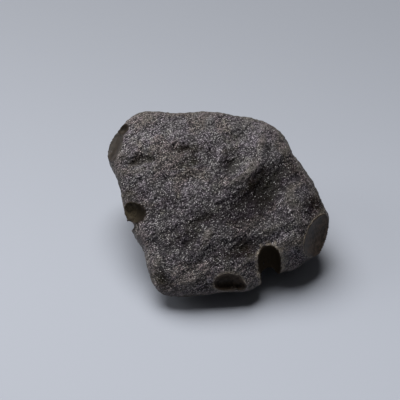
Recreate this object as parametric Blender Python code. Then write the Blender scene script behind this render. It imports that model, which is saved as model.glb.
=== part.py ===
"""A tektite: one lump of natural glass, thrown out molten and etched by the ground.

Blender 4.5, metres, +Z up. The stone rests on the small flat foot under its belly
at z = 0, with its broad pitted face leaning back from the -Y side.

The lump is drawn as someone would sketch it: looking down on the broad face along
a line DRAWN_FROM above the table. "across" runs to the right, "up" runs up the
sketch and "toward" comes out of it. All sizes below are in millimetres.
"""

import math
from dataclasses import dataclass

import bmesh
import bpy
import numpy as np
from mathutils import Euler, Matrix, Vector, noise

MM = 0.001
NODE_NAME = "tektite"

# The sketch's line of sight, and how far the widest line leans back from it.
DRAWN_FROM = math.radians(40.0)
RIM_LEAN = math.radians(26.0)

# Outline of the lump in the sketch, clockwise from the top left: (across, up).
OUTLINE = (
    (-20.2, 23.6), (-16.4, 23.8), (-11.7, 23.3), (-7.4, 23.5), (-3.1, 23.9), (1.2, 23.4),
    (4.1, 22.7), (10.9, 21.4), (13.7, 20.1), (16.8, 17.2), (19.2, 12.4), (23.8, 5.9),
    (25.4, 1.9), (26.3, -0.3), (27.4, -2.7), (27.2, -6.0), (27.0, -9.4), (25.9, -11.6),
    (24.5, -12.8), (22.0, -14.4), (19.1, -17.0), (16.1, -17.2), (10.3, -20.2), (7.6, -21.6),
    (1.0, -22.0), (-5.4, -22.7), (-11.4, -23.0), (-14.5, -22.3), (-16.4, -19.7), (-17.9, -15.5),
    (-18.8, -11.5), (-20.4, -9.1), (-23.1, -4.0), (-24.9, 3.5), (-25.9, 7.1), (-27.6, 10.1),
    (-28.1, 13.0), (-27.0, 16.1), (-25.4, 18.9), (-23.5, 21.2), (-22.0, 22.7),
)

# Depth of the lump before and behind its widest line.
FACE_CROWN = 6.5
FACE_SHOULDER = (3.4, 0.5)
BACK_SHOULDER = (4.5, 0.55)
FLOOR_HEIGHT = -14.6
FLOOR_CENTRE = (1.0, 3.0)
FLOOR_BOWL = 0.0036
BACK_WALL = 28.0
BACK_WALL_BOWL = 0.004
EDGE_BLEND = 4.5

# The belly stays smooth this close to the middle of its floor, for a sound foot.
FOOT_CALM = 8.0

# The point on the table under the middle of the stone: it becomes the origin.
STAND_POINT = (0.0, 2.33, -14.06)

# Where the widest line hangs back from its plane: (across, up, reach, reach, depth).
TOE_DROP = (18.5, -17.5, 9.0, 6.5, 6.0)
NEAR_EDGE_DROP = (-4.0, -24.0, 30.0, 5.0, 1.6)

# Mesh densities, the smoothing of the plain lump, and the side of the foot's block.
CURVE_STEPS = 12
SECTORS = 120
RINGS = 26
DEPTH_STEPS = 6
VOXEL = 0.65
SOFTEN_FACTOR = 0.5
SOFTEN_TIMES = 4
BODY_TRIANGLES = 6200
SCOOP_FACES = (24, 14)
BLOCK_SIDE = 80.0

# How sharply each kind of relief falls off: 2 is a plain bell, higher has steeper sides.
SWELL_FALL = 2.6
LUMP_FALL = 2.2
PIT_FALL = 3.0
FOOT_FALL = 4.0

# Facing toward the eye (1 is straight at it) where the face's relief starts and is full,
# and where the wear of the sides starts and is full.
FACE_RELIEF_FACING = (0.1, 0.6)
SIDE_WEAR_FACING = (0.12, -0.28)
PIT_LEAST_SHARE = 0.4


@dataclass(frozen=True)
class Swell:
    """A soft rise (height above 0) or hollow (below 0) drawn on the broad face."""

    across: float
    up: float
    half_length: float
    half_width: float
    turn: float
    height: float


FACE_RELIEF = (
    Swell(-21.4, 10.4, 2.4, 1.4, 14, -0.8),     # long dent at the left, in three stretches
    Swell(-18.6, 11.1, 2.6, 1.5, 8, -0.9),
    Swell(-16.0, 11.6, 1.8, 1.3, 20, -0.8),
    Swell(-20.2, 15.1, 3.0, 1.2, 10, 0.35),
    Swell(-12.0, 13.4, 2.0, 1.0, 10, -0.5),     # dents across the upper middle
    Swell(-8.7, 13.6, 2.4, 1.4, 8, -1.2),
    Swell(-6.2, 11.0, 1.8, 1.2, 50, -0.6),
    Swell(-1.0, 13.7, 1.8, 1.1, 60, -0.7),
    Swell(4.6, 16.9, 3.6, 1.3, 20, -0.75),
    Swell(-2.9, 20.0, 4.2, 1.1, 22, -0.5),
    Swell(-17.3, 21.5, 3.2, 1.5, 5, 0.3),
    Swell(10.6, 15.1, 2.8, 1.5, 66, 0.8),       # knob at the head of the ridge
    Swell(17.4, 13.1, 1.8, 1.4, 60, 0.4),
    Swell(3.4, 9.9, 2.6, 1.5, 52, -1.3),        # furrow along the ridge
    Swell(8.0, 8.0, 4.6, 2.0, 52, 1.35),         # ridge
    Swell(3.4, 5.2, 2.6, 1.3, 40, 0.6),
    Swell(5.3, 0.1, 3.4, 2.4, 25, -1.0),        # long valley below the ridge, in three stretches
    Swell(11.7, 2.3, 4.6, 3.3, 38, -2.1),
    Swell(15.6, 7.8, 3.4, 2.5, 38, -1.3),
    Swell(19.7, 6.3, 1.5, 1.2, 30, -0.5),
    Swell(18.6, -0.9, 5.6, 2.3, 106, 0.9),      # ridge on the right
    Swell(13.6, -6.2, 4.0, 1.6, 30, 0.4),
    Swell(5.6, -4.4, 3.0, 1.6, 50, -0.7),       # dark stretch under the valley
    Swell(-12.5, 6.0, 4.8, 0.9, 2, -0.5),       # thin troughs across the middle
    Swell(-3.6, -3.6, 2.6, 0.9, 4, -0.65),
    Swell(-8.9, -5.8, 4.6, 1.0, 20, -0.45),
    Swell(-12.7, 1.3, 2.0, 0.9, 60, 0.35),
    Swell(-21.9, 2.8, 1.8, 1.3, 20, 0.4),
    Swell(-7.0, -9.0, 3.4, 1.5, 55, -0.95),     # furrow beside the middle bump
    Swell(-2.9, -8.4, 2.4, 1.6, 60, 1.15),      # middle bump
    Swell(2.4, -7.4, 2.8, 0.9, 40, 0.35),
    Swell(6.4, -10.2, 3.8, 1.9, 20, -1.5),      # dark hollow over the notch
    Swell(8.2, -13.0, 2.2, 0.9, 38, 0.5),       # raised rims on both sides of the notch
    Swell(17.6, -15.6, 2.4, 0.9, 10, 0.5),
    Swell(1.8, -14.7, 2.6, 1.2, 80, 0.4),
    Swell(17.5, -11.2, 4.2, 3.2, 10, 1.6),       # full toe on the right
    Swell(18.4, -12.3, 2.4, 1.5, 96, -0.9),     # dent on the right toe
    Swell(-5.7, -15.4, 2.8, 1.4, 56, -0.65),
    Swell(-12.1, -19.9, 2.4, 1.7, 120, -0.75),  # low corner at the left
    Swell(-6.4, -19.4, 1.6, 1.2, 20, 0.45),
    Swell(-15.1, -14.2, 2.2, 1.2, 60, 0.5),
    Swell(-10.8, -14.2, 3.0, 1.0, 30, -0.5),
)


@dataclass(frozen=True)
class Lump:
    """A broad rise or hollow on the sides, back or belly, by its place in x, y, z."""

    place: tuple
    radius: float
    height: float


BODY_RELIEF = (
    Lump((-11.0, 24.0, 2.0), 8.5, -2.4),       # wide hollow on the back
    Lump((9.0, 23.0, -5.0), 7.0, -1.9),        # lower hollow beside it
    Lump((-1.0, 25.0, -3.0), 5.0, 1.3),        # rib between the two
    Lump((12.0, 22.0, 6.0), 6.0, 1.0),
    Lump((21.0, 10.0, -6.0), 6.5, -1.8),       # right flank
    Lump((26.0, -2.0, -8.0), 5.0, 0.9),
    Lump((-24.0, 12.0, -2.0), 6.0, 0.9),
    Lump((-23.0, 2.0, -7.0), 6.5, -1.8),       # left flank
    Lump((-16.0, -12.0, -13.0), 5.0, -1.0),
    Lump((13.0, -13.0, -12.5), 7.5, -1.5),     # belly under the notch
    Lump((-12.0, 16.0, -14.0), 6.5, -1.5),
    Lump((14.0, 16.0, -13.0), 5.5, 0.8),
)

# Flow ledges that run up the broad face from lower left to upper right.
LEDGE_TURN = 30.0
LEDGE_LENGTH = 8.0
LEDGE_WIDTH = 2.7
LEDGE_HEIGHT = 0.45

# Shallow pits scattered over every side but the broad face.
PIT_SEED = 11
PIT_COUNT = 95
PIT_RADIUS = (1.3, 3.6)
PIT_SLOPE = 0.26
WAVE_LENGTHS = (9.0, 4.0)
WAVE_HEIGHTS = (0.9, 0.35)


@dataclass(frozen=True)
class Scar:
    """A smooth scoop: an ellipsoid, stretched by `run`, cut out of the stone.

    The centre is (across, up, toward). The radii lie along the scoop's own axes, and
    the turns, in degrees, are about the sketch's across, up and toward axes.
    """

    name: str
    centre: tuple
    radii: tuple
    turns: tuple
    run: float = 0.0


SCAR_UNEVENNESS = 0.07
SCARS = (
    Scar("notch", (12.2, -13.5, 9.2), (2.7, 2.8, 3.7), (24.0, 0.0, 8.0), 16.0),
    Scar("lens_tail", (4.4, -19.7, 12.6), (2.9, 1.35, 2.6), (0.0, 0.0, -26.0)),
    Scar("left_pit", (-23.8, -1.5, 7.7), (5.4, 3.9, 5.4), (0.0, 0.0, -10.0)),
    Scar("left_nick", (-22.0, -5.6, 2.8), (1.4, 1.2, 4.5), (0.0, 0.0, 0.0)),
    Scar("edge_groove", (-28.6, 16.2, -1.6), (4.7, 8.6, 6.0), (-15.0, 0.0, -25.0)),
    Scar("edge_bubble", (-24.5, 19.2, -7.1), (1.4, 1.8, 1.8), (0.0, 0.0, -25.0)),
    Scar("lens_pit", (2.3, -19.4, 12.7), (3.6, 2.05, 2.9), (0.0, 0.0, -3.0)),
    Scar("right_facet", (30.2, -9.7, 10.2), (8.8, 11.5, 8.8), (0.0, 0.0, -8.0)),
    Scar("back_scoop", (14.1, 18.0, -15.7), (4.5, 4.5, 4.5), (0.0, 0.0, 0.0)),
    Scar("back_pit", (-13.2, 15.0, -18.1), (3.0, 3.0, 3.0), (0.0, 0.0, 0.0)),
    Scar("back_groove", (1.8, 12.0, -25.4), (5.5, 2.6, 3.0), (0.0, 0.0, 20.0)),
    Scar("back_notch", (-6.5, 9.6, -25.0), (2.5, 2.5, 2.5), (36.0, 0.0, 0.0), 14.0),
    Scar("right_flank_scoop", (28.9, -4.2, -4.6), (3.2, 3.8, 3.2), (0.0, 0.0, 0.0)),
    Scar("left_flank_groove", (-23.8, 3.2, -14.6), (3.0, 5.2, 3.2), (0.0, 0.0, -15.0)),
)


def outline_curve(count):
    """Return the outline as `count` (across, up) points at even angles."""
    knots = np.array(OUTLINE)
    steps = np.linalg.norm(np.roll(knots, -1, axis=0) - knots, axis=1)
    slopes = (np.roll(knots, -1, axis=0) - np.roll(knots, 1, axis=0))
    slopes /= (steps + np.roll(steps, 1))[:, None]
    points = []
    for i, step in enumerate(steps):
        j = (i + 1) % len(knots)
        for s in np.linspace(0.0, 1.0, CURVE_STEPS, endpoint=False):
            points.append(
                (2 * s**3 - 3 * s**2 + 1) * knots[i]
                + (s**3 - 2 * s**2 + s) * step * slopes[i]
                + (3 * s**2 - 2 * s**3) * knots[j]
                + (s**3 - s**2) * step * slopes[j]
            )
    points = np.array(points)
    angles = np.arctan2(points[:, 1], points[:, 0])
    order = np.argsort(angles)
    reach = np.linalg.norm(points, axis=1)
    wanted = np.linspace(-math.pi, math.pi, count, endpoint=False)
    radii = np.interp(wanted, angles[order], reach[order], period=2 * math.pi)
    return np.column_stack((radii * np.cos(wanted), radii * np.sin(wanted)))


def drawn_to_part(points):
    """Turn (across, up, toward) rows into the part's own x, y, z."""
    across, up, toward = np.asarray(points, dtype=float).T
    sine, cosine = math.sin(DRAWN_FROM), math.cos(DRAWN_FROM)
    return np.column_stack((across, up * sine - toward * cosine, up * cosine + toward * sine))


def part_to_drawn(points):
    """Turn x, y, z rows back into (across, up, toward)."""
    x, y, z = np.asarray(points, dtype=float).T
    sine, cosine = math.sin(DRAWN_FROM), math.cos(DRAWN_FROM)
    return np.column_stack((x, y * sine + z * cosine, z * sine - y * cosine))


def shoulder(ring, power):
    """Fullness of the lump at a share `ring` of the way out to its widest line."""
    return (1.0 - ring ** power[0]) ** power[1]


def rim_toward(across, up):
    """How far toward the eye the widest line lies at (across, up)."""
    toward = -math.tan(RIM_LEAN) * up
    for middle, height, wide, high, depth in (TOE_DROP, NEAR_EDGE_DROP):
        reach = ((across - middle) / wide) ** 2 + ((up - height) / high) ** 2
        toward = toward - depth * np.exp(-reach)
    return toward


def back_depth(outline_points):
    """How far the stone reaches behind its widest line at each (across, up) point."""
    across, up = outline_points.T
    rim = drawn_to_part(np.column_stack((across, up, rim_toward(across, up))))
    sine, cosine = math.sin(DRAWN_FROM), math.cos(DRAWN_FROM)
    to_floor = np.zeros(len(rim))
    to_wall = np.zeros(len(rim))
    for _ in range(DEPTH_STEPS):
        y = rim[:, 1] + to_floor * cosine
        span = (across - FLOOR_CENTRE[0]) ** 2 + (y - FLOOR_CENTRE[1]) ** 2
        to_floor = (rim[:, 2] - FLOOR_HEIGHT - FLOOR_BOWL * span) / sine
        z = rim[:, 2] - to_wall * sine
        to_wall = (BACK_WALL - BACK_WALL_BOWL * (across**2 + z**2) - rim[:, 1]) / cosine
    both = np.exp(-to_floor / EDGE_BLEND) + np.exp(-to_wall / EDGE_BLEND)
    return np.maximum(-EDGE_BLEND * np.log(both), 0.0)


def plain_lump():
    """Build the closed lump from rings between its front and back middles."""
    rim = outline_curve(SECTORS)
    shares = np.sin(0.5 * math.pi * np.arange(1, RINGS + 1) / RINGS)
    rows = []

    def add_ring(share, front):
        flat = rim * share
        toward = rim_toward(*flat.T)
        if front:
            toward += FACE_CROWN * shoulder(share, FACE_SHOULDER)
        else:
            toward -= back_depth(flat) * shoulder(share, BACK_SHOULDER)
        rows.extend(np.column_stack((flat, toward)))

    for share in shares:
        add_ring(share, True)
    for share in shares[-2::-1]:
        add_ring(share, False)
    ring_count = 2 * RINGS - 1
    front_middle = len(rows)
    rows.append((0.0, 0.0, FACE_CROWN))
    rows.append((0.0, 0.0, -float(back_depth(np.zeros((1, 2)))[0])))
    faces = []
    for ring in range(ring_count - 1):
        for k in range(SECTORS):
            a, b = ring * SECTORS + k, ring * SECTORS + (k + 1) % SECTORS
            faces.append((a, b, b + SECTORS, a + SECTORS))
    last = (ring_count - 1) * SECTORS
    for k in range(SECTORS):
        after = (k + 1) % SECTORS
        faces.append((front_middle, after, k))
        faces.append((front_middle + 1, last + k, last + after))
    mesh = bpy.data.meshes.new(NODE_NAME)
    mesh.from_pydata((drawn_to_part(rows) * MM).tolist(), [], faces)
    shaped = bmesh.new()
    shaped.from_mesh(mesh)
    bmesh.ops.recalc_face_normals(shaped, faces=shaped.faces)
    shaped.to_mesh(mesh)
    shaped.free()
    stone = bpy.data.objects.new(NODE_NAME, mesh)
    bpy.context.scene.collection.objects.link(stone)
    return stone


def settle(stone):
    """Replace the stone's mesh by the result of its modifiers."""
    graph = bpy.context.evaluated_depsgraph_get()
    done = bpy.data.meshes.new_from_object(stone.evaluated_get(graph))
    stone.modifiers.clear()
    stone.data = done


def even_out(stone):
    """Give the lump an even skin of small faces."""
    remesh = stone.modifiers.new("even skin", "REMESH")
    remesh.mode = "VOXEL"
    remesh.voxel_size = VOXEL * MM
    smooth = stone.modifiers.new("soften", "SMOOTH")
    smooth.factor = SOFTEN_FACTOR
    smooth.iterations = SOFTEN_TIMES
    settle(stone)


def swell_height(swell, across, up):
    """Height of one swell over arrays of (across, up)."""
    turn = math.radians(swell.turn)
    along = (across - swell.across) * math.cos(turn) + (up - swell.up) * math.sin(turn)
    side = (up - swell.up) * math.cos(turn) - (across - swell.across) * math.sin(turn)
    reach = (along / swell.half_length) ** 2 + (side / swell.half_width) ** 2
    return swell.height * np.exp(-(reach ** (SWELL_FALL / 2)))


def carve_face(stone):
    """Raise and sink the skin of the broad face."""
    mesh = stone.data
    places = np.array([v.co[:] for v in mesh.vertices]) / MM
    normals = np.array([v.normal[:] for v in mesh.vertices])
    facing = part_to_drawn(normals)[:, 2]
    across, up, _ = part_to_drawn(places).T
    height = sum(swell_height(swell, across, up) for swell in FACE_RELIEF)
    turn = math.radians(LEDGE_TURN)
    along = (across * math.cos(turn) + up * math.sin(turn)) / LEDGE_LENGTH
    side = (up * math.cos(turn) - across * math.sin(turn)) / LEDGE_WIDTH
    flow = [noise.noise(Vector((a, s, 0.0))) for a, s in zip(along, side)]
    height += LEDGE_HEIGHT * np.array(flow)
    share = np.interp(facing, FACE_RELIEF_FACING, (0.0, 1.0))
    places += normals * (height * share)[:, None]
    mesh.vertices.foreach_set("co", (places * MM).ravel())
    mesh.update()


def wear_sides(stone):
    """Give the sides, back and belly their lumps, waves and shallow pits."""
    mesh = stone.data
    places = np.array([v.co[:] for v in mesh.vertices]) / MM
    normals = np.array([v.normal[:] for v in mesh.vertices])
    share = np.interp(-part_to_drawn(normals)[:, 2], [-f for f in SIDE_WEAR_FACING], (0.0, 1.0))
    height = np.zeros(len(places))
    for lump in BODY_RELIEF:
        reach = np.linalg.norm(places - lump.place, axis=1) / lump.radius
        height += lump.height * np.exp(-(reach ** LUMP_FALL))
    for length, wave in zip(WAVE_LENGTHS, WAVE_HEIGHTS):
        height += wave * np.array([noise.noise(Vector(p / length)) for p in places])
    pick = np.random.default_rng(PIT_SEED)
    spots = np.flatnonzero(share > PIT_LEAST_SHARE)
    for spot in pick.choice(spots, PIT_COUNT, replace=False):
        radius = pick.uniform(*PIT_RADIUS)
        reach = np.linalg.norm(places - places[spot], axis=1) / radius
        height -= PIT_SLOPE * radius * np.exp(-(reach ** PIT_FALL))
    foot = np.array((*FLOOR_CENTRE, FLOOR_HEIGHT))
    from_foot = np.linalg.norm(places - foot, axis=1) / FOOT_CALM
    share *= 1.0 - np.exp(-(from_foot ** FOOT_FALL))
    places += normals * (height * share)[:, None]
    mesh.vertices.foreach_set("co", (places * MM).ravel())
    mesh.update()


def uneven(direction, phase):
    """Share of its plain radius that a scoop has along a unit direction."""
    x, y, z = direction
    first = math.sin(2.3 * x + phase) * math.cos(1.9 * y - phase)
    second = math.sin(3.1 * z + 2.0 * phase + 1.7 * x)
    return 1.0 + SCAR_UNEVENNESS * (first + 0.6 * second)


def scoop(scar, phase):
    """Make the closed cutter of one scar, a little uneven as chips and bubbles are."""
    shape = bmesh.new()
    around, along = SCOOP_FACES
    bmesh.ops.create_uvsphere(shape, u_segments=around, v_segments=along, radius=1.0)
    # The sphere's poles lie on its z axis: turn them to the scoop's run, its own -y.
    bmesh.ops.rotate(shape, verts=shape.verts, matrix=Matrix.Rotation(math.pi / 2, 3, "X"))
    turn = Euler([math.radians(a) for a in scar.turns]).to_matrix()
    for vertex in shape.verts:
        swell = uneven(vertex.co.normalized(), phase)
        local = Vector([swell * r * c for r, c in zip(scar.radii, vertex.co)])
        if local.y < -1e-6:
            local.y -= scar.run
        drawn = Vector(scar.centre) + turn @ local
        vertex.co = Vector(drawn_to_part([drawn])[0]) * MM
    mesh = bpy.data.meshes.new(scar.name)
    shape.to_mesh(mesh)
    shape.free()
    cutter = bpy.data.objects.new(scar.name, mesh)
    bpy.context.scene.collection.objects.link(cutter)
    cutter.hide_render = True
    cutter.display_type = "WIRE"
    return cutter


def cut(stone, cutter):
    """Cut a closed cutter out of the stone."""
    boolean = stone.modifiers.new(cutter.name, "BOOLEAN")
    boolean.operation = "DIFFERENCE"
    boolean.solver = "EXACT"
    boolean.object = cutter


def foot_block():
    """Make the block that trims the belly flat where the stone rests."""
    shape = bmesh.new()
    place = Matrix.Translation((0.0, 0.0, STAND_POINT[2] * MM - BLOCK_SIDE * MM / 2))
    bmesh.ops.create_cube(shape, size=BLOCK_SIDE * MM, matrix=place)
    mesh = bpy.data.meshes.new("foot_block")
    shape.to_mesh(mesh)
    shape.free()
    block = bpy.data.objects.new("foot_block", mesh)
    bpy.context.scene.collection.objects.link(block)
    block.hide_render = True
    block.display_type = "WIRE"
    return block


def dress(stone):
    """Give the stone its dark glass."""
    glass = bpy.data.materials.new("tektite_glass")
    glass.use_nodes = True
    shader = glass.node_tree.nodes["Principled BSDF"]
    shader.inputs["Base Color"].default_value = (0.045, 0.042, 0.042, 1.0)
    shader.inputs["Roughness"].default_value = 0.5
    shader.inputs["Metallic"].default_value = 0.0
    stone.data.materials.clear()
    stone.data.materials.append(glass)
    stone.data.shade_smooth()


def main():
    """Build the stone from an empty scene."""
    for old in list(bpy.data.objects):
        bpy.data.objects.remove(old)
    stone = plain_lump()
    even_out(stone)
    carve_face(stone)
    wear_sides(stone)
    thin = stone.modifiers.new("fewer faces", "DECIMATE")
    thin.ratio = BODY_TRIANGLES / (2 * len(stone.data.polygons))
    settle(stone)
    cutters = [scoop(scar, phase) for phase, scar in enumerate(SCARS, start=1)]
    cutters.append(foot_block())
    for cutter in cutters:
        cut(stone, cutter)
    settle(stone)
    for cutter in cutters:
        bpy.data.objects.remove(cutter)
    stone.data.transform(Matrix.Translation(-Vector(STAND_POINT) * MM))
    dress(stone)


main()
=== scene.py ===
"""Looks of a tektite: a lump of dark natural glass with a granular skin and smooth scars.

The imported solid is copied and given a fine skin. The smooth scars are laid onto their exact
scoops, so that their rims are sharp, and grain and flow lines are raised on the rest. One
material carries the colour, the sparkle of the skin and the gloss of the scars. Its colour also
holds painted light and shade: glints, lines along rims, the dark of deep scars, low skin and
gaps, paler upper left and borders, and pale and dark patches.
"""

import logging
import math
from dataclasses import dataclass, field
from enum import Enum
from typing import Any, Callable, Iterable

import bmesh
import bpy
import numpy as np
from mathutils import Euler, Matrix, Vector, noise


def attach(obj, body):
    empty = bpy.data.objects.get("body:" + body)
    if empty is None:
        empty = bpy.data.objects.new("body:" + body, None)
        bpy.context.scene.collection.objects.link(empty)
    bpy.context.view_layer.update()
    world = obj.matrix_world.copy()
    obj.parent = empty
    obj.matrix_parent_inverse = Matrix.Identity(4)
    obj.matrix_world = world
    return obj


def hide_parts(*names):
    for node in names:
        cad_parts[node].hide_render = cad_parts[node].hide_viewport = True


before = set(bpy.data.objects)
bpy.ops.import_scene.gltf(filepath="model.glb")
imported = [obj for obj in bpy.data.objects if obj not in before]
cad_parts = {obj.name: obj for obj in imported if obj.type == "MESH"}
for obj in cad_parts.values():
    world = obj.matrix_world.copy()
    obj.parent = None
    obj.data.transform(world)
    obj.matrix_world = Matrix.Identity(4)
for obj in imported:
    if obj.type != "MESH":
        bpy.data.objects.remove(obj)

logging.basicConfig(level=logging.INFO, format="%(message)s")
LOG = logging.getLogger("tektite")

Step = tuple[float, float]
Triple = tuple[float, float, float]
Colour = tuple[float, float, float, float]

MM = 0.001
TINY = 1e-6  # keeps a division away from 0
WELD = 1e-7  # vertices closer than this many metres are one
MEAN = 0.5  # the middle value of a noise
HALF_WAY = 0.5  # how far a relaxed vertex goes toward its neighbours' middle in a round
PICTURE = 400  # width of the picture, in pixels
NODE = "tektite"


class Attr(str, Enum):
    """Names of the values that the mesh carries for the material."""

    SCAR = "scar"
    RIM = "rim"
    HOLLOW = "hollow"
    BORDER = "border"
    CALM = "calm"
    # Dusting of the scars, which also carries their painted light and shade.
    DUST_AND_PAINTED_LIGHT = "dust_and_painted_light"
    # Painted light and shade of the patches.
    PAINTED_LIGHT_AND_SHADE = "tone"
    SOIL = "soil"
    MATTE = "matte"
    # The skin turned from the eye, painted with shade in the colour of wear.
    WORN_AND_SHADED_FLANK = "worn_and_shaded_flank"
    GRAIN = "grain"


# ---------------------------------------------------------------------------- the sketch


@dataclass(frozen=True)
class Sketch:
    """The slanted sketch that the solid was drawn in.

    Attributes:
        drawn_from: Height of the line of sight above the table, in degrees.
        stand_point: The sketch's place of the point on the table that is the origin, in mm.
    """

    drawn_from: float = 40.0
    stand_point: Triple = (0.0, 2.33, -14.06)

    def slant(self) -> tuple[float, float]:
        """Return the sine and the cosine of the line of sight's height."""
        angle = math.radians(self.drawn_from)
        return math.sin(angle), math.cos(angle)

    def turn(self, rows: np.ndarray) -> np.ndarray:
        """Turn sketch directions into part directions.

        Args:
            rows: Rows of (across, up, toward).

        Returns:
            The same rows along the part's x, y and z.
        """
        across, up, toward = np.asarray(rows, dtype=float).T
        sine, cosine = self.slant()
        return np.column_stack(
            (across, up * sine - toward * cosine, up * cosine + toward * sine)
        )

    def to_sketch(self, points: np.ndarray) -> np.ndarray:
        """Turn part rows in metres into (across, up, toward) rows in mm.

        Args:
            points: Rows of x, y, z in metres.

        Returns:
            Rows of sketch coordinates, in mm.
        """
        x, y, z = (np.asarray(points, dtype=float) / MM + np.array(self.stand_point)).T
        sine, cosine = self.slant()
        return np.column_stack((x, y * sine + z * cosine, z * sine - y * cosine))


SKETCH = Sketch()


# ---------------------------------------------------------------------------- the scars


@dataclass(frozen=True)
class Scar:
    """A smooth scoop in the stone: an uneven ellipsoid, stretched by a run.

    Attributes:
        name: What the scar is called.
        centre: Its middle as (across, up, toward), in mm.
        radii: Its radii along its own axes, in mm.
        turns: Its turns about across, up and toward, in degrees.
        run: How far its lower half is pulled out, in mm.
        ripple: Height of the shell-like ripples on its floor, in mm.
        dust_and_painted_light: How much dusting and painted paleness its floor has, from 0 to 1.
        painted_light_lean: How much paler its right and upper side are painted than its middle,
            as light and shade.
        matte: How dull its floor is, from 0 to 1.
        rim: How much paler its rim is, from 0 to 1.
    """

    name: str
    centre: Triple
    radii: Triple
    turns: Triple
    run: float = 0.0
    ripple: float = 0.03
    dust_and_painted_light: float = 0.3
    painted_light_lean: Step = (0.0, 0.0)
    matte: float = 0.35
    rim: float = 0.3


UNTURNED = (0.0, 0.0, 0.0)
# Each scar's dusting also stands in for light and shade: the facet and the lens pit are painted
# paler, the groove and the bubble darker.
SCARS = (
    Scar(
        "notch", (12.2, -13.5, 9.2), (2.7, 2.8, 3.7), (24.0, 0.0, 8.0),
        run=16.0, ripple=0.02, dust_and_painted_light=0.0, matte=1.0, rim=1.0,
    ),
    Scar(
        "lens_tail", (4.4, -19.7, 12.6), (2.9, 1.35, 2.6), (0.0, 0.0, -26.0),
        ripple=0.02, dust_and_painted_light=0.55,
    ),
    # The left pit's lean paints its left side paler and its right side darker, as light and
    # shade.
    Scar(
        "left_pit", (-23.8, -1.5, 7.7), (5.4, 3.9, 5.4), (0.0, 0.0, -10.0),
        dust_and_painted_light=0.75, painted_light_lean=(-0.8, 0.0), matte=0.9,
    ),
    Scar("left_nick", (-22.0, -5.6, 2.8), (1.4, 1.2, 4.5), UNTURNED),
    Scar(
        "edge_groove", (-28.6, 16.2, -1.6), (4.7, 8.6, 6.0), (-15.0, 0.0, -25.0),
        ripple=0.07, dust_and_painted_light=0.17, matte=0.3,
    ),
    Scar(
        "edge_bubble", (-24.5, 19.2, -7.1), (1.4, 1.8, 1.8), (0.0, 0.0, -25.0),
        dust_and_painted_light=0.15, matte=0.7,
    ),
    Scar(
        "lens_pit", (2.3, -19.4, 12.7), (3.6, 2.05, 2.9), (0.0, 0.0, -3.0),
        ripple=0.02, dust_and_painted_light=0.55, rim=0.6,
    ),
    Scar(
        "right_facet", (30.2, -9.7, 10.2), (8.8, 11.5, 8.8), (0.0, 0.0, -8.0),
        ripple=0.025, dust_and_painted_light=0.62,
    ),
    Scar("back_scoop", (14.1, 18.0, -15.7), (4.5, 4.5, 4.5), UNTURNED, ripple=0.06),
    Scar("back_pit", (-13.2, 15.0, -18.1), (3.0, 3.0, 3.0), UNTURNED),
    Scar("back_groove", (1.8, 12.0, -25.4), (5.5, 2.6, 3.0), (0.0, 0.0, 20.0), ripple=0.05),
    Scar(
        "back_notch", (-6.5, 9.6, -25.0), (2.5, 2.5, 2.5), (36.0, 0.0, 0.0),
        run=14.0, ripple=0.02,
    ),
    Scar("right_flank_scoop", (28.9, -4.2, -4.6), (3.2, 3.8, 3.2), UNTURNED),
    Scar("left_flank_groove", (-23.8, 3.2, -14.6), (3.0, 5.2, 3.2), (0.0, 0.0, -15.0)),
)


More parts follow.
